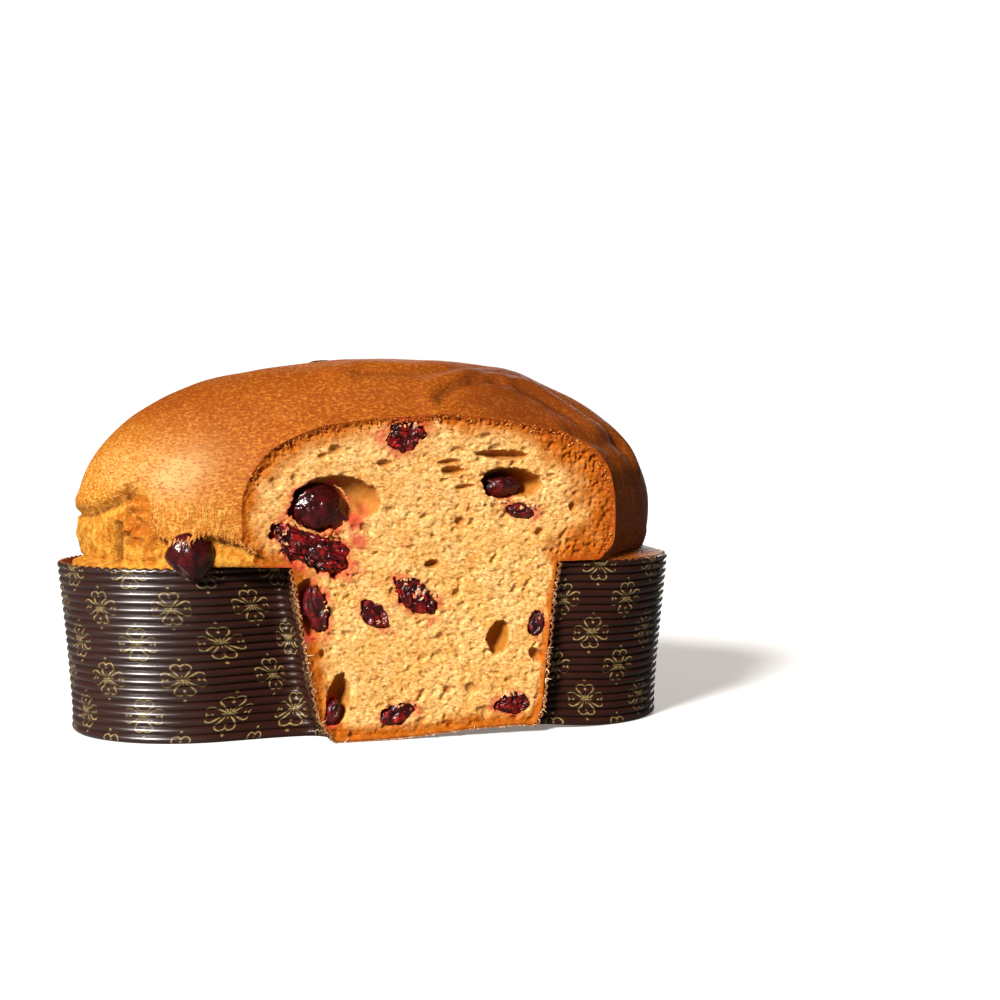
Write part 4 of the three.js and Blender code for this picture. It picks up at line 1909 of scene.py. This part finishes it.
@dataclass
class Trimmings:
    """Small bits along the cut: crust flakes, crumbs, paper fibres and shreds of skin."""

    cut: CutPlane
    cake: Cake
    hanging_half: Triple = (8.7, 6.8, 9)
    flakes: int = 620
    fibres: int = 680

    def rim_places(
        self, rng: np.random.Generator, count: int, wanted: Callable[[Array, Array], Array]
    ) -> tuple[Array, Array]:
        """Random places on the cut's outline and the directions into the crumb there.

        Args:
            rng: Source of the random places.
            count: How many are drawn.
            wanted: Takes along and up and returns how likely a place is kept.

        Returns:
            The places and the directions, as along and up.
        """
        ring = self.cake.ring
        following = np.roll(ring, -1, axis=0)
        lines = following - ring
        length = np.linalg.norm(lines, axis=1)
        pick = rng.choice(len(lines), count, p=length / length.sum())
        places = ring[pick] + lines[pick] * rng.uniform(0, 1, (count, 1))
        into = np.stack([-lines[pick, 1], lines[pick, 0]], axis=1) / length[pick, None]
        area = np.sum(ring[:, 0] * following[:, 1] - following[:, 0] * ring[:, 1])
        into *= 1.0 if area > 0.0 else -1.0
        kept = rng.uniform(0, 1, count) < wanted(places[:, 0], places[:, 1])
        return places[kept], into[kept]

    def chips(self, name: str, places: Array, sizes: Array, tones: Array, seed: int) -> Piece:
        """Many ragged bits in one mesh.

        Args:
            name: The piece's name.
            places: Middles, as along, up and inward.
            sizes: Half of each bit's length.
            tones: From 0 for pale to 1 for dark, one for each bit.
            seed: Picks one set of shapes.

        Returns:
            The piece.
        """
        rng = np.random.default_rng(seed)
        deselect()
        bpy.ops.mesh.primitive_ico_sphere_add(subdivisions=1, radius=1.0)
        model = bpy.context.object
        unit = points_of(model) * MM
        faces = np.array([tuple(f.vertices) for f in model.data.polygons])
        bpy.data.objects.remove(model)
        count = len(places)
        shapes = unit[None] * rng.uniform(0.6, 1.3, (count, len(unit), 1))
        widths, depths = rng.uniform(0.5, 0.9, count), rng.uniform(0.3, 0.7, count)
        shapes *= np.stack([np.ones(count), widths, depths], 1)[:, None]
        turns = rng.normal(size=(count, 3, 3))
        turns = np.linalg.qr(turns)[0]
        turns *= np.sign(np.linalg.det(turns))[:, None, None]
        shapes = np.einsum("nij,nkj->nki", turns, shapes) * sizes[:, None, None]
        points = self.cut.place(places[:, None] + shapes).reshape(-1, 3)
        index = (np.arange(count)[:, None, None] * len(unit) + faces[None]).reshape(-1, 3)
        piece = new_piece(name, points, index.tolist())
        keep(piece, "tone", np.repeat(tones, len(unit)))
        return piece

    def tubes(self, name: str, paths: Array, radii: Array, tones: Array, sides: int) -> Piece:
        """Many thin tapered strands in one mesh.

        Args:
            name: The piece's name.
            paths: Points of each strand, strands by points by 3, in the part's frame.
            radii: Radius of each strand at each point.
            tones: One tone for each strand.
            sides: Number of sides.

        Returns:
            The piece.
        """
        count, steps = paths.shape[:2]
        ahead = np.gradient(paths, axis=1)
        ahead /= np.linalg.norm(ahead, axis=-1, keepdims=True)
        across = np.cross(ahead, np.array([0.31, 0.85, 0.42]))
        across /= np.linalg.norm(across, axis=-1, keepdims=True)
        third = np.cross(ahead, across)
        turn = np.arange(sides) / sides * 2 * math.pi
        ring = across[:, :, None] * np.cos(turn)[:, None] + third[:, :, None] * np.sin(turn)[:, None]
        points = paths[:, :, None] + ring * radii[:, :, None, None]
        start = np.arange(count) * steps * sides
        faces = []
        for base in start.tolist():
            for step in range(steps - 1):
                low = base + step * sides
                for side in range(sides):
                    after = (side + 1) % sides
                    faces.append((low + side, low + after, low + sides + after, low + sides + side))
            faces.append(tuple(base + side for side in reversed(range(sides))))
            faces.append(tuple(base + (steps - 1) * sides + side for side in range(sides)))
        piece = new_piece(name, points.reshape(-1, 3), faces)
        keep(piece, "tone", np.repeat(tones, steps * sides))
        shade(piece, 60)
        return piece

    def dress(self, piece: Piece, finish: BitFinish, slot: str) -> Piece:
        """Dresses and places one lot of bits.

        Args:
            piece: The piece.
            finish: What it is dressed in.
            slot: Not used.

        Returns:
            The piece.
        """
        piece.data.materials.append(finish.material())
        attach(piece, "root")
        return piece

    def crust_flakes(self) -> Piece:
        """Golden and dark flakes under the crust's edge in the cut.

        Returns:
            The piece.
        """
        rng = np.random.default_rng(21)
        places, into = self.rim_places(
            rng,
            self.flakes * 2,
            lambda a, u: smooth(u, 80, 92) + 0.8 * smooth(a, 80, 94) * smooth(u, 62, 66),
        )
        in_by = rng.exponential(1.8, len(places)).clip(0.2, 6.5)
        places = places + into * in_by[:, None]
        spots = np.column_stack([places, rng.uniform(0.1, 0.6, len(places))])
        sizes = rng.uniform(0.2, 0.72, len(places)) * (1 - 0.06 * in_by)
        tones = (0.6 - 0.2 * in_by + rng.normal(0, 0.3, len(places))).clip(0, 1)
        piece = self.chips("crust_flakes", spots, sizes, tones, 22)
        finish = BitFinish("flakes", linear(220, 140, 54), linear(156, 70, 10))
        return self.dress(piece, finish, "cake")

    def loose_crumbs(self) -> Piece:
        """Pale crumbs smeared over the fruit.

        Returns:
            The piece.
        """
        rng = np.random.default_rng(23)
        patches = (
            (32.4, 52.4, 4.6, 2, 18), (27, 56, 2, 1.6, 8), (70.5, 82, 4, 1.2, 9),
            (24, 12.4, 5, 0.8, 9), (66, 14.2, 5.4, 1, 13), (-16.4, 73.4, 1.6, 3, 9),
            (61, 84.2, 6, 0.8, 9), (76.2, 41, 1.2, 3.4, 6), (-2.4, 44, 0.8, 4.4, 8),
            (17, 43, 2, 1.2, 4), (28, 111.6, 4, 0.8, 7),
        )
        spots = []
        for along, up, wide, tall, count in patches:
            place = rng.normal(size=(count, 2)) * np.array([wide, tall]) * 0.55 + np.array([along, up])
            spots.append(np.column_stack([place, rng.uniform(-0.35, 0.35, count)]))
        spots = np.concatenate(spots)
        sizes = rng.uniform(0.35, 1.15, len(spots))
        piece = self.chips("loose_crumbs", spots, sizes, rng.uniform(0, 1, len(spots)), 24)
        return self.dress(piece, BitFinish("crumbs", linear(236, 186, 128), linear(196, 110, 84)), "cake")

    def paper_fibres(self) -> Piece:
        """Fibres that stick out of the sawn edge of the paper.

        Returns:
            The piece.
        """
        rng = np.random.default_rng(25)
        places, into = self.rim_places(rng, self.fibres, lambda a, u: fall(u, 56, 60))
        count = len(places)
        start = np.column_stack([places - into * 0.35, rng.uniform(-0.05, 0.1, count)])
        lean = np.column_stack([-into * rng.uniform(-0.4, 1, (count, 1)), rng.uniform(-0.7, 0.1, count)])
        lean += rng.normal(0, 0.45, (count, 3))
        lean *= (rng.uniform(0.5, 1.7, count) / np.linalg.norm(lean, axis=1))[:, None]
        bend = rng.normal(0, 0.45, (count, 3))
        share = np.linspace(0, 1, 5)[None, :, None]
        paths = start[:, None] + lean[:, None] * share + bend[:, None] * share * share
        lowest = 0.2 + self.cut.arch(self.cut.place(paths)) * 0.8
        paths[..., 1] = np.maximum(paths[..., 1], lowest)
        radii = np.linspace(0.2, 0.07, 5)[None] * rng.uniform(0.7, 1.2, (count, 1))
        piece = self.tubes("paper_fibres", self.cut.place(paths), radii, rng.uniform(0, 1, count), 3)
        return self.dress(piece, BitFinish("fibres", linear(240, 208, 164), linear(176, 112, 62)), "paper")

    def skin_shreds(self) -> Piece:
        """Shreds of crust that hang from the torn edge, over the whole cherry at the tail.

        Returns:
            The piece.
        """
        rng = np.random.default_rng(27)
        count, steps = 90, 9
        share = np.linspace(0, 1, steps)
        edge = np.array(self.cake.edge).T
        half = np.array(self.hanging_half) * 1.03
        tangent, outward = np.array([0.86, -0.51, 0]), np.array([-0.51, -0.86, 0])
        paths, radii = [], []
        for angle in np.sort(rng.uniform(202.4, 222, count)):
            line = float(np.interp(angle, *edge))
            near = float(hump(np.array(angle), 208.4, 3.6))
            top = line + rng.uniform(0.2, 2.6)
            low = line - rng.uniform(-0.5, 0.5) - near * rng.exponential(0.9) - 0.9 * near
            heights = top + (max(low, 61) - top) * share
            path = self.cake.spot(angle, np.maximum(heights, line - 0.2))
            path[:, 2] = heights
            path += outward * (0.05 + 0.25 * rng.uniform() * share[:, None])
            path += tangent * (rng.normal(0, 0.9) * share[:, None] ** 1.5)
            local = path - np.array(HANGING)
            across = local @ tangent
            cover = capped(1 - (across / half[0]) ** 2 - (local[:, 2] / half[2]) ** 2)
            lack = half[1] * np.sqrt(cover) + 0.15 - local @ outward
            path += outward * np.where(cover > 0.0, np.maximum(lack, 0), 0)[:, None]
            paths.append(path + rng.normal(0, 0.1, path.shape))
            radii.append((1 - 0.85 * share**1.5) * rng.uniform(0.16, 0.55))
        piece = self.tubes("skin_shreds", np.array(paths), np.array(radii), rng.uniform(0, 1, count), 5)
        return self.dress(piece, BitFinish("shreds", linear(216, 146, 60), linear(172, 92, 18), 0.6), "cake")

    def torn_rims(self) -> Piece:
        """Pale membranes of crumb around the large cherry, and the flap of its skin.

        Returns:
            The piece.
        """
        rng = np.random.default_rng(29)
        arcs = (
            ((-14.8, 79.6), (-11.6, 76.6), (-7.4, 74.2), (-2.6, 73), 0.5, 0.15),
            ((-13.8, 78.8), (-10.4, 75.8), (-6, 73.8), (-1.2, 72.6), 0.4, 0),
            ((-12.6, 77.6), (-9.4, 75.4), (-6.8, 74.8), (-5, 74.2), 0.3, 0.6),
            ((-3.6, 73.2), (-1.8, 74), (0.2, 74), (1.8, 72.8), 1.2, 0.8),
            ((-2.4, 72.2), (-0.6, 73), (1, 73), (2.8, 71.8), 0.9, 0.5),
            ((1, 90.6), (3.4, 89.4), (5.2, 87), (6.4, 84), 0.45, 0.1),
            ((2.4, 90), (4.6, 88.2), (6, 85.4), (6.6, 82.4), 0.35, 0.4),
        )
        share = np.linspace(0, 1, 16)
        paths, radii, tones = [], [], []
        for *corners, thick, tone in arcs:
            bend = np.array(corners)
            knots = np.linspace(0, 1, len(bend))
            flat = np.column_stack([np.interp(share, knots, bend[:, axis]) for axis in range(2)])
            flat += rng.normal(0, 0.22, flat.shape)
            paths.append(np.column_stack([flat, 0.3 + 0.35 * rng.uniform(-1.0, 1, len(share))]))
            radii.append(thick * (0.3 + 0.7 * np.sin(math.pi * share)) * rng.uniform(0.5, 1.25, len(share)))
            tones.append(tone)
        piece = self.tubes("torn_rims", self.cut.place(np.array(paths)), np.array(radii), np.array(tones), 8)
        finish = BitFinish("membrane", linear(226, 160, 88), linear(206, 84, 24), 0.45)
        return self.dress(piece, finish, "cake")

    def build(self) -> list[Piece]:
        """Makes every lot of bits."""
        makers = (self.crust_flakes, self.loose_crumbs, self.paper_fibres, self.skin_shreds, self.torn_rims)
        return [make() for make in makers]


@dataclass
class Studio:
    """Floor, light and camera."""

    heading: float = 12.0
    distance: float = 568.0
    shift_x: float = -49.0
    shift_y: float = 46.5
    eye: float = 113.5
    focal: float = 1600.0
    picture: float = 1000.0
    horizon: float = 420.0
    lamp_colour: Colour = (1.0, 0.985, 0.96)

    def floor(self) -> Piece:
        """A plain pale floor that looks white and throws little light back.

        Returns:
            The floor.
        """
        deselect()
        bpy.ops.mesh.primitive_plane_add(size=60.0)
        floor = named(bpy.context.object, "floor")
        n = Nodes("floor_white")
        colour = n.mix(n.noise(600, 1), (0.9, 0.9, 0.895), (0.92, 0.92, 0.915))
        material = n.finish(
            Base_Color=colour, Roughness=0.7, Emission_Color=(1.0, 0.86, 0.78), Emission_Strength=0.24
        )
        seen = n.add("LightPath").outputs["Is Camera Ray"]
        dim = n.add("BsdfDiffuse", {"Color": (0.22, 0.21, 0.2)})
        mix = n.add("MixShader", {0: seen, 1: dim.outputs[0], 2: n.shader.outputs[0]})
        output = next(node for node in n.tree.nodes if node.type == "OUTPUT_MATERIAL")
        n.plug(output.inputs["Surface"], mix.outputs[0])
        floor.data.materials.append(material)
        return floor

    def sky(self) -> None:
        """An even, dim surround that looks white."""
        world = bpy.data.worlds.new("surround")
        bpy.context.scene.world = world
        world.use_nodes = True
        tree = world.node_tree
        tree.nodes.clear()
        output = tree.nodes.new("ShaderNodeOutputWorld")
        mix = tree.nodes.new("ShaderNodeMixShader")
        path = tree.nodes.new("ShaderNodeLightPath")
        for slot, strength in ((1, 0.07), (2, 1.1)):
            light = tree.nodes.new("ShaderNodeBackground")
            light.inputs["Color"].default_value = (1.0, 0.985, 0.97, 1)
            light.inputs["Strength"].default_value = strength
            tree.links.new(light.outputs[0], mix.inputs[slot])
        tree.links.new(path.outputs["Is Camera Ray"], mix.inputs[0])
        tree.links.new(mix.outputs[0], output.inputs["Surface"])

    def lamp(self, name: str, energy: float, toward: Vector, size: float) -> None:
        """A sun that shines from a direction.

        Args:
            name: The lamp's name.
            energy: Its strength.
            toward: Direction from the object to the lamp.
            size: The sun's width, in degrees.
        """
        data = bpy.data.lights.new(name, "SUN")
        data.energy = energy
        data.angle = math.radians(size)
        data.color = self.lamp_colour
        lamp = bpy.data.objects.new(name, data)
        bpy.context.scene.collection.objects.link(lamp)
        lamp.rotation_euler = toward.to_track_quat("Z", "Y").to_euler()

    def camera(self) -> None:
        """The photograph's viewpoint."""
        flat, side = turned(self.heading)
        dx, dy = -self.shift_x, -self.distance - self.shift_y
        data = bpy.data.cameras.new("camera")
        data.sensor_width = 36.0
        data.lens = self.focal / self.picture * data.sensor_width
        data.shift_y = (self.horizon - self.picture / 2) / self.picture
        data.clip_end = 50.0
        camera = bpy.data.objects.new("camera", data)
        bpy.context.scene.collection.objects.link(camera)
        camera.location = Vector((flat * dx + side * dy, -side * dx + flat * dy, self.eye)) * MM
        camera.rotation_euler = (math.radians(90.0), 0, -math.radians(self.heading))
        bpy.context.scene.camera = camera

    def build(self) -> None:
        """Sets up the studio."""
        self.floor()
        self.sky()
        self.lamp("key", 6.2, Vector((-0.6, -0.62, 0.5)), 14)
        self.lamp("back", 1.3, Vector((0.35, 0.9, 0.26)), 30)
        self.camera()
        bpy.context.scene.view_settings.view_transform = "Standard"


TORN = 0.26  # how ragged a torn cherry is
CHERRIES = (
    CutCherry("cherry_large", Spot(-4.4, 82, 20.5, 18.5, 14), 6.4, Fruit.SKIN, 3),
    CutCherry("cherry_jammy", Spot(-6, 68, 29, 12, 10, -27, ragged=TORN), 2.2, Fruit.PULP, 3.5),
    CutCherry("cherry_under_crust", Spot(26.5, 107.6, 12.5, 9, 9, 8, ragged=TORN), 1.6, Fruit.PULP, 3),
    CutCherry("cherry_in_hole", Spot(63, 89.4, 15.5, 8.6, 9, 0), 7, Fruit.DRY, 0.5),
    CutCherry("cherry_sliver", Spot(69.8, 80.3, 10, 4.6, 5, -10, ragged=TORN), 1.2, Fruit.DRY, 2),
    CutCherry("cherry_crumbed", Spot(30.8, 50.4, 16.5, 9.5, 9, -40, ragged=TORN), 2, Fruit.PULP, 2.8),
    CutCherry("cherry_red", Spot(15.6, 44.6, 11, 7.6, 7, -42, ragged=TORN), 1.6, Fruit.PULP, 1.8),
    CutCherry("cherry_wall_left", Spot(-5.2, 47, 7.6, 16.5, 8, 14, ragged=0.25), 1.8, Fruit.DRY, 2.2),
    CutCherry("cherry_floor_left", Spot(0.8, 10.7, 4.8, 9, 6, -12), 2, Fruit.DRY, 1),
    CutCherry("cherry_floor_middle", Spot(23.6, 8.9, 12, 5.8, 6, 16, ragged=TORN), 1.4, Fruit.PULP, 1.5),
    CutCherry("cherry_floor_right", Spot(66.2, 10.9, 12.5, 6.2, 6.5, 8, ragged=TORN), 1.4, Fruit.PULP, 1.5),
    CutCherry("cherry_wall_right", Spot(75.2, 39.3, 5.6, 8.6, 6, -10), 1.4, Fruit.DRY, 1.5),
)

HOLLOWS = (
    Spot(3.6, 85.8, 29, 16.5, 8, -8, 0.85, 0.05),
    Spot(66.5, 90.9, 23, 10.4, 12, -6, 1, 0.08),
    Spot(62.7, 100.9, 20.4, 3.4, 5, -2, 0.7, 0.1),
    Spot(42.8, 98.5, 9.3, 2.1, 2.6, 4, 0.5),
    Spot(44.4, 95.2, 9, 3, 3.6, -4, 0.6),
    Spot(48.7, 89.5, 7.9, 2, 2.2, 6, 0.4),
    Spot(61, 34.6, 8.8, 12, 6, -14, 1, 0.18),
    Spot(2.6, 15.4, 8.2, 18, 9, -8, 0.8, 0.1),
    Spot(-7.6, 47.6, 9.5, 21, 6, 12, 0.6, 0.1),
    Spot(36.5, 62.1, 6, 3.2, 3.4, 0, 0.9),
    Spot(46.8, 77.1, 4.4, 3.2, 2.6, 0, 0.7),
    Spot(76.5, 72.8, 3.8, 2.9, 2.4, 20, 0.6),
    Spot(89.1, 81.7, 3, 3.8, 2.8, 10, 0.5),
    Spot(-3, 31.2, 2.2, 3.6, 2.4, 10, 0.3),
    Spot(42.1, 16.9, 3.6, 2.9, 2, 0, 0.4),
    Spot(51.1, 16.9, 5.4, 4, 1.6, -10, 0.3),
    Spot(75.1, 28.3, 6.4, 4, 3.4, -40, 0.5),
    Spot(19.5, 98, 6, 3, 2.2, -6, 0.4),
    Spot(2, 103, 5.6, 3.6, 2.2, -14, 0.3),
)


def main() -> None:
    """Builds the cake, its case and the studio."""
    mould, cut = Mould(), CutPlane()
    cake = Cake(mould, cut, cherries=CHERRIES, hollows=HOLLOWS)
    pieces = [cake.build(), BakingPaper(mould, cut).build()]
    pieces += Cherries(cut, CHERRIES).build()
    pieces += Trimmings(cut, cake).build()
    for piece in pieces:
        triangles = sum(len(face.vertices) - 2 for face in piece.data.polygons)
        log.info("%s: %d triangles", piece.name, triangles)
    Studio().build()


if __name__ == "__main__":
    main()
